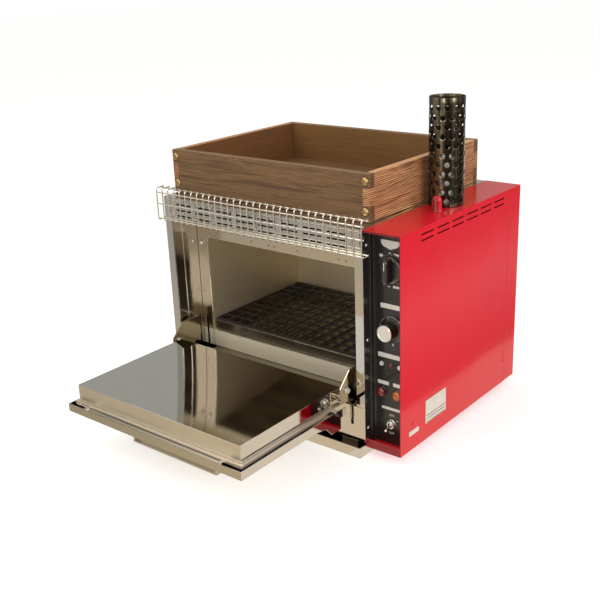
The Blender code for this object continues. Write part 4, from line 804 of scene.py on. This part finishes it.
def fluted(mesh, profile, ribs, depth, centre, segments):
    """Adds a turned knob whose widest part is fluted."""
    before = len(mesh.verts)
    turned(mesh, profile, centre, AHEAD, segments)
    middle = Vector(centre)
    line = Vector(AHEAD).normalized()
    side = line.orthogonal().normalized()
    widest = max(radius for radius, along in profile)
    for vert in list(mesh.verts)[before:]:
        reach = vert.co - middle
        along = reach.dot(line)
        out = reach - line * along
        if out.length > widest * 0.9:
            turn = math.atan2(out.dot(line.cross(side)), out.dot(side))
            out *= 1 - depth * (0.5 - 0.5 * math.cos(turn * ribs)) ** 2
            vert.co = middle + line * along + out


def tick(mesh, centre, angle, inner, outer, width, y):
    """Adds a thin mark that points away from a knob's axis."""
    turn = math.radians(angle)
    out = Vector((math.sin(turn), 0, math.cos(turn)))
    side = Vector((math.cos(turn), 0, -math.sin(turn)))
    origin = Vector((centre[0], y, centre[2]))
    corners = [origin + out * inner - side * width / 2, origin + out * inner + side * width / 2,
               origin + out * outer + side * width / 2, origin + out * outer - side * width / 2]
    near = [mesh.verts.new(corner + Vector((0, -0.00009, 0))) for corner in corners]
    far = [mesh.verts.new(corner + Vector((0, 0.00005, 0))) for corner in corners]
    mesh.faces.new(near)
    mesh.faces.new(list(reversed(far)))
    join_rings(mesh, [far, near])


def dial_marks(name, body, centre, y, first, count, every, long_mark, short_mark, outer):
    """Makes a knob's scale, ten degrees apart; a mark is (inner radius, width), and every so many is long."""
    mesh = bmesh.new()
    for step in range(count):
        inner, width = short_mark if step % every else long_mark
        tick(mesh, centre, first + step * 10, inner, outer, width, y)
    piece(name, mesh, body, white_ink, 0)


def words(name, text, x, z):
    data = bpy.data.curves.new(name + "_text", "FONT")
    data.body = text
    data.size = 0.0052
    data.align_x = "CENTER"
    data.align_y = "CENTER"
    data.extrude = 0.00006
    data.resolution_u = 3
    holder = linked(name + "_text", data)
    bpy.context.view_layer.update()
    solid = bpy.data.meshes.new_from_object(holder.evaluated_get(bpy.context.evaluated_depsgraph_get()))
    bpy.data.objects.remove(holder)
    solid.transform(Matrix.Translation((x, PANEL - 0.0001, z)) @ Matrix.Rotation(math.radians(90), 4, "X"))
    solid.name = name
    solid.materials.clear()
    solid.materials.append(white_ink)
    made = linked(name, solid)
    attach(made, "oven")


mesh = bmesh.new()
turned(mesh, [(0.0225, -0.0002), (0.0225, 0.0005), (0.0222, 0.0008), (0.0, 0.0008)], TIMER, AHEAD, 64)
disc = piece("timer_plate", mesh, "oven", black_paint, 40)
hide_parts("timer_dial")
dial_marks("timer_ticks", "oven", TIMER, PANEL - 0.0008, -150, 31, 5,
           (0.0202, 0.0005), (0.0207, 0.0003), 0.0218)

mesh = bmesh.new()
fluted(mesh, [
    (0.0, 0.0011), (0.0194, 0.0011), (0.0195, 0.0018), (0.0195, 0.0042), (0.0191, 0.0052), (0.0182, 0.0058),
    (0.016, 0.0062), (0.0, 0.0063),
], 30, 0.025, TIMER, 120)
half_w, half_l = 0.00525, 0.0178
outline = []
for sign in (1, -1):
    for step in range(13):
        turn = math.pi * step / 12
        rise = sign * (half_l - half_w) + sign * half_w * math.sin(turn)
        outline.append((sign * half_w * math.cos(turn), rise))
layers = ((1.06, 0.0055), (1.0, 0.0075), (0.95, 0.0165), (0.9, 0.0178), (0.78, 0.0187), (0.5, 0.0191))
rows = []
for share, depth in layers:
    taper = 1 - (1 - share) * 0.3
    rows.append([mesh.verts.new((TX + a * share, PANEL - depth, TZ + b * taper)) for a, b in outline])
join_rings(mesh, rows)
mesh.faces.new(rows[0])
mesh.faces.new(list(reversed(rows[-1])))
knob = piece("timer_grip", mesh, "timer", black_plastic, 40)
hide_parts("timer_knob")
boxes("timer_pointer", "timer", white_ink, 0.0001, [
    ((TX - 0.0005, PANEL - 0.0193, TZ + 0.003), (TX + 0.0005, PANEL - 0.0189, TZ + 0.0145)),
    ((TX - 0.0005, PANEL - 0.0066, TZ + 0.0166), (TX + 0.0005, PANEL - 0.006, TZ + 0.0188)),
])

mesh = bmesh.new()
fluted(mesh, [
    (0.0, 0.0003), (0.0203, 0.0003), (0.0205, 0.0008), (0.0203, 0.0014), (0.0196, 0.0019), (0.0, 0.0024),
], 40, 0.012, HEAT, 120)
fluted(mesh, [
    (0.0, 0.002), (0.0124, 0.0021), (0.0119, 0.003), (0.0115, 0.006), (0.0115, 0.0172), (0.0112, 0.0182),
    (0.0, 0.0186),
], 24, 0.05, HEAT, 144)
knob = piece("thermostat_grip", mesh, "thermostat", black_plastic, 40)
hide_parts("thermostat_knob")
mesh = bmesh.new()
turned(mesh, [
    (0.0, 0.0186), (0.0122, 0.0186), (0.0122, 0.0196), (0.0119, 0.0203), (0.0112, 0.0207), (0.0104, 0.0207),
    (0.0101, 0.0202), (0.0, 0.0201),
], HEAT, AHEAD, 64)
disc = piece("thermostat_disc", mesh, "thermostat", cap, 30)
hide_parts("thermostat_cap")
dial_marks("thermostat_ticks", "thermostat", HEAT, PANEL - 0.00225, -135, 28, 3,
           (0.0176, 0.00055), (0.0184, 0.00035), 0.0198)

for name, slot_name, look, radius in (
    ("indicator_left", "white_plastic", white_plastic, 0.0036),
    ("indicator_middle", "plum_plastic", plum, 0.0044),
    ("indicator_right", "white_plastic", white_plastic, 0.0036),
):
    low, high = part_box(name)
    centre = (low + high) / 2
    mesh = bmesh.new()
    turned(mesh, [
        (radius, -0.0002), (radius, 0.0007), (radius * 0.94, 0.0011), (radius * 0.84, 0.0013),
        (radius * 0.8, 0.002), (radius * 0.7, 0.0026), (radius * 0.5, 0.0029), (0.0, 0.003),
    ], (centre.x, PANEL, centre.z), AHEAD)
    made = piece(name + "_cap", mesh, "oven", look)
    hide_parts(name)

for name, slot_name, look in (("lamp_red", "red_lens", red_lens), ("lamp_amber", "amber_lens", amber_lens)):
    low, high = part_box(name)
    base = (((low + high) / 2).x, PANEL, ((low + high) / 2).z)
    R = (high.x - low.x) / 2
    mesh = bmesh.new()
    turned(mesh, [
        (R * 0.97, -0.0002), (R * 0.97, 0.0042), (R * 0.93, 0.0055), (R * 0.8, 0.0067), (R * 0.56, 0.0075),
        (R * 0.28, 0.0079), (0.0, 0.008),
    ], base, AHEAD, 40)
    made = piece(name + "_dome", mesh, "oven", look, 60)
    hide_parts(name)
    mesh = bmesh.new()
    hollow(mesh, [
        (R * 0.98, -0.0001), (R * 1.1, -0.0001), (R * 1.1, 0.0006), (R * 1.05, 0.001), (R * 0.98, 0.001),
        (R * 0.98, -0.0001),
    ], base, AHEAD, 40)
    piece(name + "_ring", mesh, "oven", black_plastic, 30)

mesh = bmesh.new()
hollow(mesh, [
    (0.0032, 0.0), (0.0074, 0.0), (0.0074, 0.0007), (0.0068, 0.0007), (0.0068, 0.003), (0.006, 0.0035),
    (0.0045, 0.0035), (0.0045, 0.0048), (0.0042, 0.0052), (0.0033, 0.0052), (0.0032, 0.0),
], SWITCH, AHEAD, 48)
for vert in mesh.verts:  # the nut's round part becomes a hexagon
    reach = Vector((vert.co.x - SX, 0, vert.co.z - SZ))
    depth = PANEL - vert.co.y
    if reach.length > 0.0058 and 0.0006 < depth < 0.0036:
        turn = math.atan2(reach.z, reach.x) % (math.pi / 3) - math.pi / 6
        hexed = 0.0059 / math.cos(turn)
        if depth > 0.0033:
            hexed = min(hexed, 0.0062)
        reach = reach.normalized() * hexed
        vert.co.x, vert.co.z = SX + reach.x, SZ + reach.z
nut = piece("switch_collar", mesh, "oven", bright, 25)
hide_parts("switch_nut")
pivot = Vector((SX, PANEL - 0.0031, SZ))
tilt = math.radians(20)
line = Vector((0, -math.cos(tilt), -math.sin(tilt)))
tip = max((Vector(v.co) - pivot).dot(line) for v in nodes["switch_lever"].data.vertices)
mesh = bmesh.new()
turned(mesh, [
    (0.0, -0.0022), (0.0018, -0.0017), (0.0026, -0.0004), (0.0022, 0.0012), (0.0017, 0.0022), (0.0018, 0.006),
    (0.0024, tip - 0.0035), (0.0027, tip - 0.002), (0.0024, tip - 0.0007), (0.0013, tip - 0.0001), (0.0, tip),
], pivot, line, 28)
lever = piece("switch_bat", mesh, "switch", bright, 60)
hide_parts("switch_lever")
words("word_on", "ON", SX + 0.0005, 0.0632)
words("word_off", "OFF", SX + 0.0003, 0.0346)

LABEL = 0.00035  # a label's thickness
shield = [(0.2064, 0.3238), (0.2075, 0.3255), (0.2353, 0.3255), (0.2364, 0.3238), (0.2358, 0.3198),
          (0.2327, 0.3165), (0.2214, 0.3125), (0.2101, 0.3165), (0.207, 0.3198)]
mesh = bmesh.new()
tag(mesh, shield, "xz", PANEL, LABEL, -1)
for corners_and_radius in (  # left, low, right, high, corner radius
    (0.2046, 0.2268, 0.2368, 0.2338, 0.0012), (0.1996, 0.1520, 0.2366, 0.1588, 0.0012),
    (0.1987, 0.1096, 0.2178, 0.1152, 0.0009), (0.2248, 0.1096, 0.2372, 0.1152, 0.0009),
    (0.2055, 0.0712, 0.2372, 0.0754, 0.0009), (0.2035, 0.3005, 0.2095, 0.3045, 0.0006),
    (0.2190, 0.3062, 0.2225, 0.3082, 0.0004), (0.2262, 0.3040, 0.2352, 0.3078, 0.0006),
    (0.2172, 0.2588, 0.2212, 0.2602, 0.0004), (0.2256, 0.2585, 0.2358, 0.2620, 0.0006),
    (0.2240, 0.1722, 0.2262, 0.1756, 0.0004), (0.2300, 0.0562, 0.2345, 0.0568, 0.0002),
):
    tag(mesh, round_corners(*corners_and_radius), "xz", PANEL, LABEL, -1)
piece("panel_labels", mesh, "oven", label_face, 30)

# ---------------------------------------------------------------- nails, screws, painted highlights and shade, and plates

for name in nodes:
    if not name.startswith("nail_"):
        continue
    low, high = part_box(name)
    centre = (low + high) / 2
    way = -1 if centre.y < 0 else 1
    face = high.y if way < 0 else low.y
    radius = (high.x - low.x) / 2
    tall = high.y - low.y
    tilt_axis = Vector((rng.uniform(-0.04, 0.04), way, rng.uniform(-0.04, 0.04)))
    mesh = bmesh.new()
    turned(mesh, [
        (radius * 0.99, 0.0), (radius, tall * 0.16), (radius * 0.93, tall * 0.42),
        (radius * 0.78, tall * 0.66), (radius * 0.56, tall * 0.84), (radius * 0.3, tall * 0.96), (0.0, tall),
    ], (centre.x, face, centre.z), tilt_axis)
    made = piece(name + "_dome", mesh, "crate", brass, 60)
    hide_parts(name)

mesh = bmesh.new()
for x in (-0.1699, 0.1699):
    screw(mesh, (x, FRONT + 0.0523, 0.2544), AHEAD, 0.0034)
piece("recess_screws", mesh, "oven", bright, 40)
# black discs stand in for small holes: painted shade of the holes
mesh = bmesh.new()
for x, z in (
    (-0.1726, 0.1711), (0.1726, 0.1711), (-0.0589, 0.2744), (-0.0236, 0.2723), (-0.0122, 0.2720),
    (0.0343, 0.2728), (0.1119, 0.2727), (0.1252, 0.2721),
):
    turned(mesh, [(0.0013, -0.0002), (0.0013, 0.0001), (0.0011, 0.0002), (0.0, 0.0002)],
           (x, FRONT + 0.0535, z), AHEAD, 16)
piece("recess_hole_shades", mesh, "oven", black_paint, 30)
# bright strips along the opening's and the jambs' edges and the sill: painted highlights
edges = []
for opening, jamb in (((-0.1566, -0.1557), (-0.1789, -0.1784)), ((0.1557, 0.1566), (0.1784, 0.1789))):
    edges.append(((opening[0], FRONT + 0.0527, 0.0762), (opening[1], FRONT + 0.0534, 0.2654)))
    edges.append(((jamb[0], FRONT + 0.0200, 0.0768), (jamb[1], FRONT + 0.0211, 0.3055)))
edges.append(((-0.1555, FRONT + 0.0529, 0.1036), (0.1555, FRONT + 0.0534, 0.1044)))
boxes("recess_edge_highlights", "oven", wire, 0.0002, edges)

# a black strip stands in for the side wall's dark mirror image of the panel's interior: a painted reflection
STRIP = 0.19322  # the right side of the dark strip along the panel's mouth
boxes("painted_reflection_strip", "oven", black_paint, 0.0, [
    ((0.19302, FRONT + 0.0008, 0.0172), (STRIP, FRONT + 0.0245, 0.3402)),
])
mesh = bmesh.new()
for y, z, size in ((0.0088, 0.3188, 0.0027), (0.0088, 0.1798, 0.0027), (0.0075, 0.0428, 0.0025)):
    screw(mesh, (STRIP, FRONT + y, z), RIGHT, size)
hollow(mesh, [(0.0022, 0.0), (0.003, 0.0), (0.003, 0.0006), (0.0022, 0.0006), (0.0022, 0.0)],
       (STRIP, FRONT + 0.0045, 0.1247), RIGHT, 24)
piece("mouth_screws", mesh, "oven", bright, 40)
# bright strips along the flange's front edge and fold: painted highlights
boxes("panel_edge_highlights", "oven", satin, 0.0, [
    ((0.1937, FRONT + 0.01585, 0.0175), (0.19465, FRONT + 0.0161, 0.34)),
    ((0.19475, FRONT + 0.0225, 0.0175), (0.1952, FRONT + 0.0248, 0.34)),
])

mesh = bmesh.new()
for y, z in ((0.033, 0.303), (0.304, 0.300), (0.305, 0.055), (0.033, 0.056)):
    screw(mesh, (CONTROL_RIGHT, FRONT + y, z), RIGHT, 0.0031, 0.36)
piece("side_screws", mesh, "oven", red, 40)
# a black sheet behind the side slots stands in for the box's dark interior: painted shade
boxes("slot_shade_sheet", "oven", black_paint, 0.0, [
    ((0.2462, FRONT + 0.04, 0.3), (0.2468, FRONT + 0.3, 0.338)),
])

low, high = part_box("door_inner_plate")
fold_low, fold_high = low.z - 0.0036, low.z - 0.0001
boxes("plate_fold", "door", plate_steel, 0.0003, [
    ((low.x + 0.0002, low.y, fold_low), (high.x - 0.0002, low.y + SHEET, fold_high)),
    ((low.x, low.y, fold_low), (low.x + SHEET, high.y - 0.045, fold_high)),
    ((high.x - SHEET, low.y, fold_low), (high.x, high.y - 0.045, fold_high)),
])

low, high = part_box("rating_plate")
boxes("plate_rules", "oven", black_paint, 0.0, [
    ((high.x - 0.00005, low.y + 0.0035, z), (high.x + 0.00006, high.y - 0.0035, z + tall))
    for z, tall in ((low.z + 0.0115, 0.0011), (low.z + 0.0066, 0.0011), (low.z + 0.0006, 0.0012))
])
mesh = bmesh.new()
for y in (low.y + 0.0022, high.y - 0.0022):
    for z in (low.z + 0.0022, high.z - 0.0022):
        screw(mesh, (high.x - 0.0003, y, z), RIGHT, 0.001, 0.5)
piece("plate_rivets", mesh, "oven", bright, 40)
mesh = bmesh.new()
outline = round_corners(FRONT + 0.0224, 0.0389, FRONT + 0.048, 0.0461, 0.0008)
tag(mesh, outline, "yz", CONTROL_RIGHT, 0.0003, 1)
piece("side_tag", mesh, "oven", plate_face, 30)

# ---------------------------------------------------------------- stage


def lit(name, mesh_data, colour_of, strength_of=None, under_colour=None):
    """Gives a stage mesh a glowing material, over a dull one if under_colour is given."""
    mat = bpy.data.materials.new(name)
    tree = Tree(mat)
    glow = tree.feed(tree.node("ShaderNodeEmission"), Color=colour_of(tree))
    shade = glow.outputs[0]
    if strength_of:
        tree.feed(glow, Strength=strength_of(tree))
    if under_colour:
        dull = tree.feed(tree.node("ShaderNodeBsdfDiffuse"), Color=under_colour)
        both = tree.node("ShaderNodeAddShader")
        tree.link(dull.outputs[0], both.inputs[0])
        tree.link(shade, both.inputs[1])
        shade = both.outputs[0]
    tree.link(shade, tree.node("ShaderNodeOutputMaterial").inputs["Surface"])
    mesh_data.materials.append(mat)


FLOOR_SIZE = 14.0
data = bpy.data.meshes.new("floor")
data.from_pydata([(-FLOOR_SIZE, -FLOOR_SIZE, 0), (FLOOR_SIZE, -FLOOR_SIZE, 0), (FLOOR_SIZE, FLOOR_SIZE, 0),
                  (-FLOOR_SIZE, FLOOR_SIZE, 0)], [], [(0, 1, 2, 3)])
lit("floor", data, lambda tree: (1, 1, 1), lambda tree: tree.maths("MULTIPLY", tree.seen(), 0.5),
    (0.8, 0.8, 0.8))
floor = linked("floor", data)
floor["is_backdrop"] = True


def card(name, corners, stops):
    """A reflection card: only mirror-like rays see it. Its colour runs along X, from stops of (x, colour)."""
    data = bpy.data.meshes.new(name)
    data.from_pydata(corners, [], [(0, 1, 2, 3)])
    begin, end = stops[0][0], stops[-1][0] + 0.001

    def colour_of(tree):
        across = tree.feed(
            tree.node("ShaderNodeMapRange"), Value=tree.apart("Object")[0], From_Min=begin, From_Max=end,
        )
        return tree.ramp(across.outputs[0], [((x - begin) / (end - begin), colour) for x, colour in stops])

    lit(name, data, colour_of)
    made = linked(name, data)
    made.visible_camera = False
    made.visible_diffuse = False
    made.visible_shadow = False
    made.visible_transmission = False
    made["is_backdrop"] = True


def lying(left, near, right, far):
    return [(left, near, 0.001), (right, near, 0.001), (right, far, 0.001), (left, far, 0.001)]


SPLIT = 0.17  # where the two floor cards meet
card("card_front_floor", lying(-3, -3.5, SPLIT, -0.15), [
    (-0.75, (0.42, 0.41, 0.38)), (-0.45, (0.5, 0.45, 0.37)), (-0.2, (0.58, 0.49, 0.36)),
    (0.1, (0.74, 0.61, 0.44)),
])
card("card_right_floor", lying(SPLIT, -3.5, 4, 4), [
    (0.17, (0.84, 0.73, 0.6)), (0.342, (0.84, 0.73, 0.6)), (0.346, (0.2, 0.17, 0.15)),
    (0.44, (0.34, 0.3, 0.27)), (0.56, (0.6, 0.55, 0.5)), (0.75, (0.2, 0.18, 0.17)),
    (1.1, (0.08, 0.07, 0.07)), (1.8, (0.2, 0.18, 0.17)),
])
card("card_back", [(-3, 3.2, 0), (4, 3.2, 0), (4, 3.2, 2.6), (-3, 3.2, 2.6)],
     [(-3.0, (0.42, 0.41, 0.38)), (3.0, (0.42, 0.41, 0.38))])
card("card_left", [(-2.6, -3, 0), (-2.6, 3.2, 0), (-2.6, 3.2, 2.6), (-2.6, -3, 2.6)],
     [(-3.0, (0.4, 0.41, 0.39)), (3.0, (0.4, 0.41, 0.39))])
card("card_behind", [(-2.6, -3.4, 0), (4, -3.4, 0), (4, -3.4, 1.5), (-2.6, -3.4, 1.5)],
     [(-2.0, (0.5, 0.43, 0.32)), (1.0, (0.72, 0.62, 0.47)), (3.0, (0.6, 0.5, 0.38))])

world = bpy.data.worlds.new("world")
bpy.context.scene.world = world
sky = Tree(world)
plain = sky.feed(sky.node("ShaderNodeBackground"), Color=(1.0, 0.985, 0.96), Strength=0.62)
white = sky.feed(sky.node("ShaderNodeBackground"), Color=(1, 1, 1), Strength=1.0)
choose = sky.node("ShaderNodeMixShader")
for number, output in enumerate((sky.seen(), plain.outputs[0], white.outputs[0])):
    sky.link(output, choose.inputs[number])
sky.link(choose.outputs[0], sky.node("ShaderNodeOutputWorld").inputs["Surface"])


def lamp(name, place, aim, size, power):
    data = bpy.data.lights.new(name, "AREA")
    data.shape = "SQUARE"
    data.size = size
    data.energy = power
    data.color = (1, 0.97, 0.93)
    made = linked(name, data)
    made.location = place
    made.rotation_euler = (Vector(aim) - Vector(place)).to_track_quat("-Z", "Y").to_euler()


lamp("key", (-0.9, -1.7, 2.1), (0, 0, 0.2), 1.4, 15)
lamp("fill", (2.3, -0.7, 1.1), (0.1, 0, 0.2), 1.2, 19)
lamp("front", (0.5, -2.3, 0.72), (0, 0, 0.18), 0.7, 10)

low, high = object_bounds()
